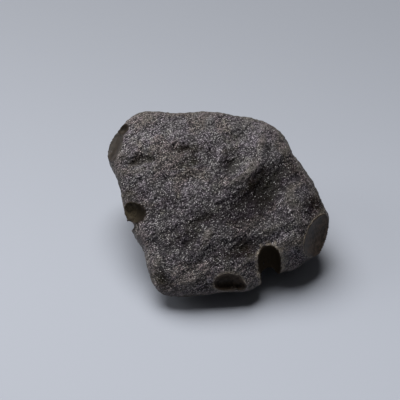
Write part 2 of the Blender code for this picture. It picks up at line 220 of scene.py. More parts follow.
@dataclass(frozen=True)
class Scoop:
    """The exact skin of one scar.

    Attributes:
        scar: The scar.
        phase: Which scar it is, which sets how it is uneven.
        uneven: Share of its radius that its first swell takes.
        first_waves: Waves of that swell along its own axes.
        second_waves: Waves of the finer swell.
        second_share: How high the finer swell is beside the first.
        ripple_length: Distance between two of its ripples, in mm.
        bend_waves: Waves per mm of the noise that bends the ripples.
        bend_reach: How far it bends them, in mm.
        bend_height: How high it is itself, in ripples.
        fade_waves: Waves per mm of the noise that lets them fade.
        fade: How high they stay in its middle, and how fast that changes.
    """

    scar: Scar
    phase: int
    uneven: float = 0.07
    first_waves: Step = (2.3, 1.9)
    second_waves: Step = (3.1, 1.7)
    second_share: float = 0.6
    ripple_length: float = 1.1
    bend_waves: float = 0.35
    bend_reach: float = 1.6
    bend_height: float = 1.5
    fade_waves: float = 0.2
    fade: Step = (0.55, 1.4)

    def swell(self, unit: np.ndarray) -> np.ndarray:
        """Share of its plain radius that the scoop has along unit directions.

        Args:
            unit: Rows of unit directions in the scoop's own axes.

        Returns:
            One share for each row.
        """
        x, y, z = unit.T
        across, upward = self.first_waves
        outward, sideways = self.second_waves
        first = np.sin(across * x + self.phase) * np.cos(upward * y - self.phase)
        second = np.sin(outward * z + 2.0 * self.phase + sideways * x)
        return 1.0 + self.uneven * (first + self.second_share * second)

    def shares(self, points: np.ndarray) -> np.ndarray:
        """Places from the scoop's middle, as shares of its radii, with its run taken out.

        Args:
            points: Rows of (across, up, toward), in mm.

        Returns:
            Rows of shares along the scoop's own axes.
        """
        turn = np.array(Euler([math.radians(a) for a in self.scar.turns]).to_matrix())
        local = (points - np.array(self.scar.centre)) @ turn
        down = local[:, 1]
        local[:, 1] = np.maximum(down, 0.0) + np.minimum(down + self.scar.run, 0.0)
        return local / np.array(self.scar.radii)

    def distance(self, points: np.ndarray) -> np.ndarray:
        """Distance in mm from sketch points to the scoop's skin, below 0 inside it.

        Args:
            points: Rows of (across, up, toward), in mm.

        Returns:
            One distance for each row, close to true near the skin.
        """
        shares = self.shares(points)
        reach = np.maximum(np.linalg.norm(shares, axis=1), TINY)
        swell = self.swell(shares / reach[:, None])
        slope = np.linalg.norm(shares / np.array(self.scar.radii), axis=1) / reach
        return (reach - swell) / np.maximum(slope, TINY)

    def dust_and_painted_light(self, points: np.ndarray) -> np.ndarray:
        """Share of dusting and painted paleness at points on the scoop's floor.

        Args:
            points: Rows of (across, up, toward), in mm.

        Returns:
            One share from 0 to 1 for each row.
        """
        # The lean paints one side of the floor paler and the other darker, as light and shade.
        painted_light_leaning = self.shares(points)[:, :2] @ self.scar.painted_light_lean
        return np.clip(self.scar.dust_and_painted_light + painted_light_leaning, 0.0, 1.0)

    def ripples(self, points: np.ndarray) -> np.ndarray:
        """Height in mm of shell-like ripples on the scoop's floor.

        Args:
            points: Rows of (across, up, toward) on the floor, in mm.

        Returns:
            One height for each row.
        """
        places = self.shares(points) * np.array(self.scar.radii)
        shift = Vector((math.sin(2.0 * self.phase), 1.0, math.cos(3.0 * self.phase)))
        start = np.array(shift.normalized()) * max(self.scar.radii)
        bend = np.array([noise.noise(Vector(p * self.bend_waves) + shift) for p in places])
        fade = np.array([noise.noise(Vector(p * self.fade_waves) - shift) for p in places])
        reach = np.linalg.norm(places - start, axis=1) + self.bend_reach * bend
        wave = np.sin(2.0 * math.pi * reach / self.ripple_length)
        middle, change = self.fade
        wave = wave * np.clip(middle + change * fade, 0.0, 1.0)
        return self.scar.ripple * (wave + self.bend_height * bend)


SCOOPS = tuple(Scoop(scar, phase) for phase, scar in enumerate(SCARS, start=1))


# ---------------------------------------------------------------------------- the patches


@dataclass(frozen=True)
class Patch:
    """A soft patch on the broad face, which holds soil and paints light and shade onto the skin.

    Attributes:
        name: What the patch is called.
        centre: Its middle as (across, up), in mm.
        half_length: Half its length, in mm.
        half_width: Half its width, in mm.
        turn: Turn of its length above the across axis, in degrees.
        tone: How much paler it is painted than the rest, as light, or how much darker below 0,
            as shade.
        soil: How much fine soil stayed in it.
        steepness: How steeply it falls off at its edge.
    """

    name: str
    centre: tuple[float, float]
    half_length: float
    half_width: float
    turn: float
    tone: float
    soil: float
    steepness: float = 1.4

    def share(self, drawn: np.ndarray) -> np.ndarray:
        """How much of the patch lies at sketch points.

        Args:
            drawn: Rows of (across, up, toward), in mm.

        Returns:
            One share from 0 to 1 for each row.
        """
        turn = math.radians(self.turn)
        across, up = (drawn[:, :2] - np.array(self.centre)).T
        along = (across * math.cos(turn) + up * math.sin(turn)) / self.half_length
        beside = (up * math.cos(turn) - across * math.sin(turn)) / self.half_width
        return np.exp(-((along * along + beside * beside) ** self.steepness))


# Each patch paints light where its value is above 0 and shade where it is below 0; its soil is
# olive soil.
PATCHES = (
    Patch("left dent", (-20.6, 10.9), 4.6, 1.6, 12.0, -0.35, 0.45),
    Patch("middle dent", (-7.2, 13.7), 4.0, 2.2, 8.0, -0.9, 0.5),
    Patch("below that dent", (-6.6, 9.6), 5.0, 2.6, 30.0, -0.9, 0.15),
    Patch("furrow", (2.7, 11.4), 3.2, 1.6, 60.0, -0.6, 0.3),
    Patch("slope under the ridge", (9.0, 5.0), 5.0, 2.0, 46.0, -0.25, 0.8),
    Patch("head of the valley", (14.2, 9.0), 3.2, 1.4, 40.0, -0.1, 0.25),
    Patch("valley", (12.4, 2.4), 5.2, 2.6, 42.0, -0.45, 0.15),
    Patch("right of the valley", (16.4, 6.4), 4.0, 2.6, 55.0, -0.75, 0.1),
    Patch("right border", (19.0, 8.4), 4.0, 2.0, -60.0, -0.5, 0.1),
    Patch("low in the valley", (11.8, -0.4), 2.8, 2.2, 45.0, -0.8, 0.1),
    Patch("over the furrow", (1.1, 15.0), 3.6, 2.6, 60.0, -0.4, 0.05),
    Patch("right of the pit", (-13.4, -0.2), 5.4, 2.6, 10.0, -0.7, 0.1),
    Patch("lower left", (-10.9, -9.4), 4.2, 2.0, 30.0, -0.45, 0.05),
    Patch("lower middle", (1.0, -12.6), 4.4, 2.0, 10.0, -0.7, 0.15),
    Patch("under the valley", (7.6, -1.6), 4.8, 2.6, 32.0, -1.0, 0.15),
    Patch("middle dark", (2.6, -1.6), 5.4, 3.6, 35.0, -0.75, 0.05),
    Patch("left of the middle", (-7.0, -6.0), 5.6, 3.0, 35.0, -0.7, 0.1),
    Patch("middle trough", (-1.2, -3.4), 4.2, 1.5, 5.0, -0.4, 0.15),
    Patch("over the notch", (6.6, -11.4), 3.8, 2.3, 22.0, -0.55, 0.6),
    Patch("above the facet", (23.8, -0.4), 3.6, 3.0, 60.0, -1.3, 0.4),
    Patch("left of the facet", (20.8, -8.0), 4.0, 2.2, 78.0, -0.7, 0.15),
    Patch("above the pit", (-21.2, 2.8), 3.6, 2.0, 0.0, -0.9, 0.3),
    Patch("low left corner", (-14.2, -18.8), 2.8, 1.7, 120.0, -0.3, 0.9),
    Patch("pale upper left", (-16.0, 17.0), 7.6, 4.6, 6.0, 1.25, 0.0),
    Patch("pale knob", (9.8, 15.2), 3.6, 1.8, 66.0, 1.5, 0.0),
    Patch("pale ridge", (6.8, 8.0), 3.4, 1.3, 52.0, 0.6, 0.0),
    Patch("pale middle bump", (-2.6, -8.2), 2.2, 1.8, 60.0, 0.4, 0.0),
    Patch("toe painted with light", (16.6, -10.4), 5.2, 3.8, 100.0, 1.2, 0.0),
    Patch("lower edge painted with light", (-3.0, -18.6), 14.0, 3.2, 2.0, 2.0, 0.0),
    Patch("lobe left of the notch", (9.2, -17.4), 2.4, 2.6, 80.0, 1.3, 0.0),
    Patch("lobe right of the notch", (17.6, -15.8), 3.4, 1.2, 20.0, 1.5, 0.0),
    Patch("left edge painted with light", (-18.0, -13.8), 6.5, 2.0, 108.0, 1.4, 0.0),
)


# ---------------------------------------------------------------------------- node graphs


def arithmetic(operation: str, swapped: bool = False) -> Callable[["Value", Any], "Value"]:
    """Return a method that adds one Math node, for an operator.

    Args:
        operation: The Math node's operation.
        swapped: Whether the value stands to the right of the sign.

    Returns:
        The method.
    """

    def method(value: "Value", other: Any) -> "Value":
        """Return the result of the operation on the value and the other."""
        first, second = (other, value) if swapped else (value, other)
        return value.graph.math(operation, first, second)

    return method


@dataclass(frozen=True)
class Value:
    """A number or vector socket that takes part in plain arithmetic.

    Attributes:
        graph: The graph that it is in.
        socket: The node's output.
    """

    graph: "Graph"
    socket: Any

    __add__, __radd__ = arithmetic("ADD"), arithmetic("ADD", swapped=True)
    __sub__, __rsub__ = arithmetic("SUBTRACT"), arithmetic("SUBTRACT", swapped=True)
    __mul__, __rmul__ = arithmetic("MULTIPLY"), arithmetic("MULTIPLY", swapped=True)
    __truediv__, __rtruediv__ = arithmetic("DIVIDE"), arithmetic("DIVIDE", swapped=True)
    __pow__, __rpow__ = arithmetic("POWER"), arithmetic("POWER", swapped=True)

    def __neg__(self) -> "Value":
        """Return the value with its sign changed."""
        return self.graph.math("MULTIPLY", self, -1.0)

    def clamped(self) -> "Value":
        """Return the value held between 0 and 1."""
        return self.graph.math("ADD", self, 0.0, clamp=True)

    def ramp(self, start: float, end: float) -> "Value":
        """Return a soft step over the value.

        Args:
            start: Where the step is 0.
            end: Where it is 1, above or below the start.

        Returns:
            The step, from 0 to 1.
        """
        rises = start < end
        made = self.graph.node(
            "ShaderNodeMapRange",
            {"interpolation_type": "SMOOTHSTEP"},
            {
                "Value": self,
                "From Min": min(start, end),
                "From Max": max(start, end),
                "To Min": 0.0 if rises else 1.0,
                "To Max": 1.0 if rises else 0.0,
            },
        )
        return Value(self.graph, made.outputs["Result"])


VECTOR_MATH = "ShaderNodeVectorMath"


class Graph:
    """A node tree that is written as expressions."""

    def __init__(self, tree: bpy.types.NodeTree) -> None:
        """Start on a tree.

        Args:
            tree: The shader or geometry tree that gets the nodes.
        """
        self.tree = tree

    def feed(self, socket: bpy.types.NodeSocket, value: Any) -> None:
        """Link a value to an input, or set the input to a constant.

        Args:
            socket: The input.
            value: A Value, an output socket or a constant.
        """
        if isinstance(value, Value):
            self.tree.links.new(value.socket, socket)
        elif isinstance(value, bpy.types.NodeSocket):
            self.tree.links.new(value, socket)
        else:
            socket.default_value = value

    def node(
        self,
        kind: str,
        settings: dict[str, Any] | None = None,
        sockets: dict[str | int, Any] | None = None,
    ) -> bpy.types.Node:
        """Add one node.

        Args:
            kind: The node's type name.
            settings: Properties to set on the node.
            sockets: Inputs to feed, by name or number.

        Returns:
            The new node.
        """
        made = self.tree.nodes.new(kind)
        for name, value in (settings or {}).items():
            setattr(made, name, value)
        for name, value in (sockets or {}).items():
            self.feed(made.inputs[name], value)
        return made

    def math(self, operation: str, first: Any, second: Any, clamp: bool = False) -> Value:
        """Return the result of one Math node.

        Args:
            operation: What it does.
            first: Its first number.
            second: Its second number.
            clamp: Whether the result is held between 0 and 1.

        Returns:
            The result.
        """
        settings = {"operation": operation, "use_clamp": clamp}
        made = self.node("ShaderNodeMath", settings, {0: first, 1: second})
        return Value(self, made.outputs[0])

    def vector(self, operation: str, first: Any, second: Any) -> Value:
        """Return the vector result of one Vector Math node."""
        made = self.node(VECTOR_MATH, {"operation": operation}, {0: first, 1: second})
        return Value(self, made.outputs[0])

    def scaled(self, vector: Any, share: Any) -> Value:
        """Return a vector times a number."""
        made = self.node(VECTOR_MATH, {"operation": "SCALE"}, {0: vector, "Scale": share})
        return Value(self, made.outputs[0])

    def dot(self, first: Any, second: Any) -> Value:
        """Return the dot product of two vectors."""
        made = self.node(VECTOR_MATH, {"operation": "DOT_PRODUCT"}, {0: first, 1: second})
        return Value(self, made.outputs["Value"])

    def joined(self, x: Any, y: Any, z: Any) -> Value:
        """Return a vector of three numbers."""
        made = self.node("ShaderNodeCombineXYZ", {}, {0: x, 1: y, 2: z})
        return Value(self, made.outputs[0])

    def mixed(self, share: Any, first: Any, second: Any) -> Value:
        """Return a mix of two colours.

        Args:
            share: Share of the second colour.
            first: The first colour.
            second: The second colour.

        Returns:
            The mixed colour.
        """
        made = self.node("ShaderNodeMix", {"data_type": "RGBA"})
        colours = [s for s in made.inputs if s.type == "RGBA"]
        self.feed(made.inputs[0], share)
        self.feed(colours[0], first)
        self.feed(colours[1], second)
        return Value(self, next(s for s in made.outputs if s.type == "RGBA"))

    def cells(self, place: Any, scale: Any) -> bpy.types.Node:
        """Return a Voronoi node at a place.

        Args:
            place: Where it is read.
            scale: Cells per unit of the place.

        Returns:
            The node, with its Distance and Color outputs.
        """
        return self.node(
            "ShaderNodeTexVoronoi",
            {"voronoi_dimensions": "3D", "feature": "F1"},
            {"Vector": place, "Scale": scale, "Randomness": 1.0},
        )

    def principled(self, colour: Any, rough: Any, normal: Any, gloss: float) -> bpy.types.Node:
        """Return a Principled shader.

        Args:
            colour: Its colour.
            rough: Its roughness.
            normal: Its normal.
            gloss: Strength of its reflections.

        Returns:
            The shader's node.
        """
        return self.node(
            "ShaderNodeBsdfPrincipled",
            {},
            {
                "Base Color": colour,
                "Roughness": rough,
                "Normal": normal,
                "Specular IOR Level": gloss,
            },
        )

    def attribute(self, name: Attr) -> Value:
        """Return a number that the mesh carries, in a shader tree."""
        made = self.node("ShaderNodeAttribute", {"attribute_name": name.value})
        return Value(self, made.outputs["Fac"])

    def named(self, name: Attr) -> Value:
        """Return a number that the mesh carries, in a geometry tree."""
        kind, sockets = "GeometryNodeInputNamedAttribute", {"Name": name.value}
        return Value(self, self.node(kind, {"data_type": "FLOAT"}, sockets).outputs[0])


@dataclass(frozen=True)
class Cloud:
    """A soft noise around 0.5.

    Attributes:
        waves: Its waves per mm.
        detail: How many finer layers it has.
        rough: How strong the finer layers are.
        warp: How far it is bent by itself.
    """

    waves: float = 1.0
    detail: float = 2.0
    rough: float = 0.5
    warp: float = 0.0

    def over(self, graph: Graph, place: Any, waves: Any = None) -> Value:
        """Return the noise at a place.

        Args:
            graph: The graph that gets the node.
            place: Where it is read, in mm.
            waves: Waves per mm, where they aren't its own.

        Returns:
            The noise.
        """
        sockets = {
            "Vector": place,
            "Scale": self.waves if waves is None else waves,
            "Detail": self.detail,
            "Roughness": self.rough,
            "Distortion": self.warp,
        }
        made = graph.node("ShaderNodeTexNoise", {"noise_dimensions": "3D"}, sockets)
        return Value(graph, made.outputs[0])


def weakened(share: Value, losses: Iterable[tuple[Value, float]]) -> Value:
    """Return a share after each mask has taken its part of it.

    Args:
        share: The share.
        losses: Each mask, and the part that is lost where it is 1.

    Returns:
        What is left of the share.
    """
    for mask, loss in losses:
        share = share * (1.0 - mask * loss)
    return share


# ---------------------------------------------------------------------------- flow lines


@dataclass(frozen=True)
class Flow:
    """Which way the glass flowed: up the sketch from lower left to upper right.

    Attributes:
        turn: Angle of the flow above the sketch's across axis, in degrees.
        bend: How fast the flow lines curve upward, per mm.
    """

    turn: float = 33.0
    bend: float = 0.0056

    def axes(self) -> np.ndarray:
        """Return the flow's own axes.

        Returns:
            Rows along the flow, beside it and out of it, in the part's frame.
        """
        turn = math.radians(self.turn)
        rows = (
            (math.cos(turn), math.sin(turn), 0.0),
            (-math.sin(turn), math.cos(turn), 0.0),
            (0.0, 0.0, 1.0),
        )
        return SKETCH.turn(np.array(rows))

    def place(self, graph: Graph, position: Any, stretch: float) -> Value:
        """Return a position in mm along the flow, shortened along it.

        Args:
            graph: The graph that gets the nodes.
            position: The position in metres.
            stretch: How many times longer things come out along the flow.

        Returns:
            The position along the flow, beside it and out of it.
        """
        along, beside, out = [
            graph.dot(position, tuple(float(c) / MM for c in axis)) for axis in self.axes()
        ]
        return graph.joined(along / stretch, beside - along * along * self.bend, out)


FLOW = Flow()


# ---------------------------------------------------------------------------- the stone


def mark_points(mesh: bpy.types.Mesh, name: Attr, values: np.ndarray) -> None:
    """Store a number on every vertex of a mesh, over what is there.

    Args:
        mesh: The mesh.
        name: The number's name.
        values: One number for each vertex.
    """
    old = mesh.attributes.get(name.value)
    if old is not None:
        mesh.attributes.remove(old)
    made = mesh.attributes.new(name.value, "FLOAT", "POINT")
    made.data.foreach_set("value", values.astype(np.float32))


def places_of(mesh: bpy.types.Mesh) -> np.ndarray:
    """Return the places of a mesh's vertices.

    Args:
        mesh: The mesh.

    Returns:
        Rows of x, y, z in metres.
    """
    flat = np.empty(len(mesh.vertices) * 3)
    mesh.vertices.foreach_get("co", flat)
    return flat.reshape(-1, 3)


def normals_of(mesh: bpy.types.Mesh) -> np.ndarray:
    """Return the normals of a mesh's vertices.

    Args:
        mesh: The mesh.

    Returns:
        Rows of unit length.
    """
    flat = np.empty(len(mesh.vertices) * 3, dtype=np.float32)
    mesh.vertex_normals.foreach_get("vector", flat)
    return flat.reshape(-1, 3).astype(float)


@dataclass
class Relaxer:
    """Moves vertices toward the middle of their neighbours.

    Attributes:
        mesh: The mesh whose edges say which vertices are neighbours.
        ends: The two vertices of each edge.
        degree: How many neighbours each vertex has.
    """

    mesh: bpy.types.Mesh
    ends: np.ndarray = field(init=False)
    degree: np.ndarray = field(init=False)

    def __post_init__(self) -> None:
        """Read the neighbours from the mesh's edges."""
        flat = np.empty(len(self.mesh.edges) * 2, dtype=np.int32)
        self.mesh.edges.foreach_get("vertices", flat)
        self.ends = flat.reshape(-1, 2)
        count = len(self.mesh.vertices)
        self.degree = np.bincount(self.ends.ravel(), minlength=count)[:, None]

    def relax(
        self, rows: np.ndarray, rounds: int, share: np.ndarray | float = HALF_WAY
    ) -> np.ndarray:
        """Return the rows after some rounds of relaxing.

        Args:
            rows: One row for each vertex.
            rounds: How many rounds.
            share: How far each goes toward its neighbours' middle in a round.

        Returns:
            The relaxed rows.
        """
        rows = rows.copy()
        first, second = self.ends.T
        count = len(rows)
        for _ in range(rounds):
            middle = np.empty_like(rows)
            for axis in range(rows.shape[1]):
                column = rows[:, axis]
                middle[:, axis] = np.bincount(first, column[second], count)
                middle[:, axis] += np.bincount(second, column[first], count)
            rows += share * (middle / self.degree - rows)
        return rows


@dataclass(frozen=True)
class Grain:
    """Sizes of the relief that Geometry Nodes raise on the skin, in mm.

    Attributes:
        grain_size: Size of one grain.
        grain_height: How far grains stand out or in.
        grain_stretch: How much longer grains are along the flow.
        pit_size: Distance between the small etched cups.
        pit_depth: Their depth.
        ledge_size: Distance between flow ledges.
        ledge_height: Their height.
        ledge_stretch: How much longer ledges are than they are wide.
        crease_size: Distance between the creases that part the ledges.
        crease_depth: Their depth.
        crease_stretch: How much longer the fields between them are than they are wide.
        seed: Shift of the whole pattern.
        shift: The way that the seed shifts it.
        grain_cloud: The noise of the grains.
        ledge_cloud: The noise of the ledges.
        crease_cloud: The noise whose middle line the creases follow.
        crease_sharpness: How narrow the creases are.
        cup_reach: Distance from its middle at which a cup ends, in cups.
        rubbed_and_lit: How far a border stands out where the relief is abraded low, in mm; the
            material paints such borders paler as light.
        rubbed_loss: Share of the relief that is lost there.
    """

    grain_size: float = 0.85
    grain_height: float = 0.24
    grain_stretch: float = 1.35
    pit_size: float = 1.3
    pit_depth: float = 0.16
    ledge_size: float = 2.6
    ledge_height: float = 0.36
    ledge_stretch: float = 3.2
    crease_size: float = 2.0
    crease_depth: float = 0.22
    crease_stretch: float = 2.4
    seed: float = 3.0
    shift: Triple = (1.0, 1.7, -2.3)
    grain_cloud: Cloud = Cloud(detail=2.0, rough=0.55, warp=0.3)
    ledge_cloud: Cloud = Cloud(detail=3.0, rough=0.55, warp=0.4)
    crease_cloud: Cloud = Cloud(detail=2.0, rough=0.5, warp=0.6)
    crease_sharpness: float = 9.0
    cup_reach: float = 0.42
    rubbed_and_lit: Step = (0.5, 1.2)
    rubbed_loss: float = 0.35

    def inputs(self) -> dict[str, float]:
        """Return the tree's named inputs and their sizes.

        Returns:
            The size of each input, in mm, by its name.
        """
        return {
            "Grain size": self.grain_size,
            "Grain height": self.grain_height,
            "Pit size": self.pit_size,
            "Pit depth": self.pit_depth,
            "Ledge size": self.ledge_size,
            "Ledge height": self.ledge_height,
            "Crease size": self.crease_size,
            "Crease depth": self.crease_depth,
            "Seed": self.seed,
        }

    def height(self, graph: Graph, given: dict[str, Value]) -> Value:
        """Return the height of the relief.

        Args:
            graph: The tree's graph.
            given: The tree's inputs, by name.

        Returns:
            The height at each vertex, in mm.
        """
        position = graph.node("GeometryNodeInputPosition").outputs[0]
        shift = graph.joined(*(given["Seed"] * share for share in self.shift))
        along, ledges, fields = [
            graph.vector("ADD", FLOW.place(graph, position, stretch), shift)
            for stretch in (self.grain_stretch, self.ledge_stretch, self.crease_stretch)
        ]
        grain = self.grain_cloud.over(graph, along, 1.0 / given["Grain size"]) - MEAN
        cup = graph.cells(along, 1.0 / given["Pit size"])
        cups = Value(graph, cup.outputs["Distance"]).ramp(self.cup_reach, 0.0)
        flow = self.ledge_cloud.over(graph, ledges, 1.0 / given["Ledge size"]) - MEAN
        crease = self.crease_cloud.over(graph, fields, 1.0 / given["Crease size"]) - MEAN
        crease = graph.math("ABSOLUTE", crease, 0.0) * self.crease_sharpness
        crease = (1.0 - crease).clamped()
        height = (
            grain * given["Grain height"] * 2.0
            - cups * given["Pit depth"]
            + flow * given["Ledge height"] * 2.0
            - crease * given["Crease depth"]
        )
        rubbed_and_lit = graph.named(Attr.BORDER).ramp(*self.rubbed_and_lit)
        return weakened(height, ((graph.named(Attr.CALM), 1.0), (rubbed_and_lit, self.rubbed_loss)))

    def apply(self, stone: bpy.types.Object, material: bpy.types.Material) -> None:
        """Raise the relief on the stone and make it part of its mesh.

        Args:
            stone: The stone's object.
            material: The material that the tree sets.
        """
        tree = bpy.data.node_groups.new("grain and flow", "GeometryNodeTree")
        io = tree.interface
        io.new_socket("Geometry", in_out="INPUT", socket_type="NodeSocketGeometry")
        sizes = self.inputs()
        keys = {}
        for name in sizes:
            socket = io.new_socket(name, in_out="INPUT", socket_type="NodeSocketFloat")
            keys[name] = socket.identifier
        io.new_socket("Geometry", in_out="OUTPUT", socket_type="NodeSocketGeometry")
        graph = Graph(tree)
        entry = graph.node("NodeGroupInput")
        given = {name: Value(graph, entry.outputs[name]) for name in sizes}
        height = self.height(graph, given)
        normal = graph.node("GeometryNodeInputNormal").outputs[0]
        moved = graph.node(
            "GeometryNodeSetPosition",
            {},
            {"Geometry": entry.outputs["Geometry"], "Offset": graph.scaled(normal, height * MM)},
        )
        kept = graph.node(
            "GeometryNodeStoreNamedAttribute",
            {"data_type": "FLOAT", "domain": "POINT"},
            {"Geometry": moved.outputs[0], "Name": Attr.GRAIN.value, "Value": height},
        )
        real = graph.node("GeometryNodeRealizeInstances", {}, {0: kept.outputs[0]})
        dressed = graph.node(
            "GeometryNodeSetMaterial", {}, {"Geometry": real.outputs[0], "Material": material}
        )
        graph.node("NodeGroupOutput", {}, {0: dressed.outputs[0]})
        modifier = stone.modifiers.new("grain and flow", "NODES")
        modifier.node_group = tree
        for name, size in sizes.items():
            modifier[keys[name]] = size
        bake(stone)


def bake(thing: bpy.types.Object) -> None:
    """Replace an object's mesh by the result of its modifiers.

    Args:
        thing: The object.
    """
    graph = bpy.context.evaluated_depsgraph_get()
    graph.update()
    done = bpy.data.meshes.new_from_object(
        thing.evaluated_get(graph), preserve_all_data_layers=True, depsgraph=graph
    )
    thing.modifiers.clear()
    thing.data = done


@dataclass
class Stone:
    """The whole stone: one piece with a fine skin.

    Attributes:
        material: Its material.
        grain: The relief raised on its skin.
        voxel: Size of the skin's faces, in mm.
        soft_rounds: Rounds of softening that take the solid's flat faces away.
        soft_reach: Distances from a scar between which that softening sets in, in mm.
        rim_rounds: Rounds of softening close to the scars.
        floor_reach: Distance from a scoop within which the skin is laid onto it, in mm.
        foot_calm: Height over which the skin stays plain above the table, in mm.
        scar_edge: Distances from a scoop between which bare glass turns to skin, in mm.
        scar_wander: How far that edge wanders, in mm.
        wander_size: Size of its wandering, in mm.
        calm_reach: Distances from a scar between which the relief sets in, in mm.
        rim_reach: How far from a scar its rim counts, in mm.
        hollow_rounds: Rounds that find the hollows.
        border_rounds: Further rounds that find the stone's broad rounded borders.
        facing_rounds: Rounds that even out which way the skin faces.
        flank_upper: How far the skin faces the sketch's eye where the side painted with shade
            sets in.
        flank_lower: How far it does where that side ends below.
        patch_facing: How far it does where the patches set in.
        patch_wander: How far the edges of the patches wander, in mm.
        patch_waves: Waves per mm of their wandering.
        patch_seed: Seed of their wandering, which would follow the clock without one.
    """

    material: bpy.types.Material
    grain: Grain = Grain()
    voxel: float = 0.31
    soft_rounds: int = 7
    soft_reach: Step = (0.3, 1.5)
    rim_rounds: int = 3
    floor_reach: Step = (0.12, 0.32)
    foot_calm: float = 0.6
    scar_edge: Step = (0.12, 0.42)
    scar_wander: float = 0.35
    wander_size: float = 1.1
    calm_reach: Step = (0.1, 0.7)
    rim_reach: float = 2.0
    hollow_rounds: int = 160
    border_rounds: int = 400
    facing_rounds: int = 12
    flank_upper: Step = (0.05, 0.6)
    flank_lower: Step = (-0.55, -0.1)
    patch_facing: Step = (0.0, 0.3)
    patch_wander: float = 1.6
    patch_waves: float = 0.45
    patch_seed: int = 2

    def build(self) -> bpy.types.Object:
        """Make the stone and fit it to the frame.

        Returns:
            The stone's object.
        """
        stone = self.copy_solid()
        self.refine(stone)
        self.soften(stone.data)
        above = self.lay_scars(stone.data)
        self.mark_scars(stone.data, above)
        self.mark_shape(stone.data)
        self.grain.apply(stone, self.material)
        stone.data.shade_smooth()
        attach(stone, "root")
        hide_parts(NODE)
        triangles = sum(len(face.vertices) - 2 for face in stone.data.polygons)
        LOG.info("stone: %d vertices, %d triangles", len(stone.data.vertices), triangles)
        return stone

    def copy_solid(self) -> bpy.types.Object:
        """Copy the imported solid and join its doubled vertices.

        Returns:
            The copy, as a new object.
        """
        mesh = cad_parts[NODE].data.copy()
        shape = bmesh.new()
        shape.from_mesh(mesh)
        bmesh.ops.remove_doubles(shape, verts=shape.verts, dist=WELD)
        shape.to_mesh(mesh)
        shape.free()
        stone = bpy.data.objects.new("stone", mesh)
        bpy.context.scene.collection.objects.link(stone)
        LOG.info("solid copied: %d faces", len(mesh.polygons))
        return stone

    def refine(self, stone: bpy.types.Object) -> None:
        """Give the stone an even skin of fine faces.

        Args:
            stone: The stone's object.
        """
        remesh = stone.modifiers.new("fine skin", "REMESH")
        remesh.mode = "VOXEL"
        remesh.voxel_size = self.voxel * MM
        bake(stone)
        LOG.info("fine skin: %d faces", len(stone.data.polygons))

    def soften(self, mesh: bpy.types.Mesh) -> None:
        """Take the flat faces away, but spare the rims of the scars and the foot.

        Args:
            mesh: The stone's mesh.
        """
        relaxer = Relaxer(mesh)
        places = places_of(mesh)
        apart = scar_distances(places).min(axis=0)
        share = HALF_WAY * soft_step(apart, *self.soft_reach)
        places = relaxer.relax(places, self.rim_rounds)
        places = relaxer.relax(places, self.soft_rounds, share[:, None])
        places[:, 2] = np.maximum(places[:, 2], 0.0)
        move_to(mesh, places)

    def lay_scars(self, mesh: bpy.types.Mesh) -> np.ndarray:
        """Lay the floor of every scar onto its exact scoop, with its ripples.

        Args:
            mesh: The stone's mesh.

        Returns:
            How far each vertex is clear of the table, from 0 to 1.
        """
        places = places_of(mesh)
        drawn = SKETCH.to_sketch(places)
        rise = np.zeros(len(places))
        for scoop in SCOOPS:
            apart = scoop.distance(drawn)
            share = 1.0 - soft_step(np.abs(apart), *self.floor_reach)
            near = share > 0.0
            step = apart[near]
            if scoop.scar.ripple:
                step = step + scoop.ripples(drawn[near])
            rise[near] += share[near] * step
        above = soft_step(places[:, 2] / MM, 0.0, self.foot_calm)
        places += normals_of(mesh) * (rise * above * MM)[:, None]
        move_to(mesh, places)
        return above

    def mark_scars(self, mesh: bpy.types.Mesh, above: np.ndarray) -> None:
        """Store where the scars are, and what is on them, for the relief and the material.

        Args:
            mesh: The stone's mesh.
            above: How far each vertex is clear of the table, from 0 to 1.
        """
        places = places_of(mesh)
        distances = scar_distances(places)
        apart, nearest = distances.min(axis=0), distances.argmin(axis=0)
        size = self.wander_size * MM
        wander = np.array([noise.noise(Vector(place / size)) for place in places])
        bare = 1.0 - soft_step(apart + wander * self.scar_wander, *self.scar_edge)
        calm = np.maximum(1.0 - soft_step(apart, *self.calm_reach), 1.0 - above)
        reach = self.rim_reach * (1.0 + wander)
        close = np.clip(1.0 - np.abs(apart) / reach, 0.0, 1.0)
        drawn = SKETCH.to_sketch(places)
        # The scars' dusting, with their painted light and shade.
        dust_and_painted_light = np.choose(nearest, [scoop.dust_and_painted_light(drawn) for scoop in SCOOPS])
        matte = np.array([scar.matte for scar in SCARS])[nearest]
        rim = np.array([scar.rim for scar in SCARS])[nearest]
        mark_points(mesh, Attr.SCAR, bare)
        mark_points(mesh, Attr.CALM, calm)
        mark_points(mesh, Attr.RIM, close * rim)
        mark_points(mesh, Attr.DUST_AND_PAINTED_LIGHT, dust_and_painted_light)
        mark_points(mesh, Attr.MATTE, matte)

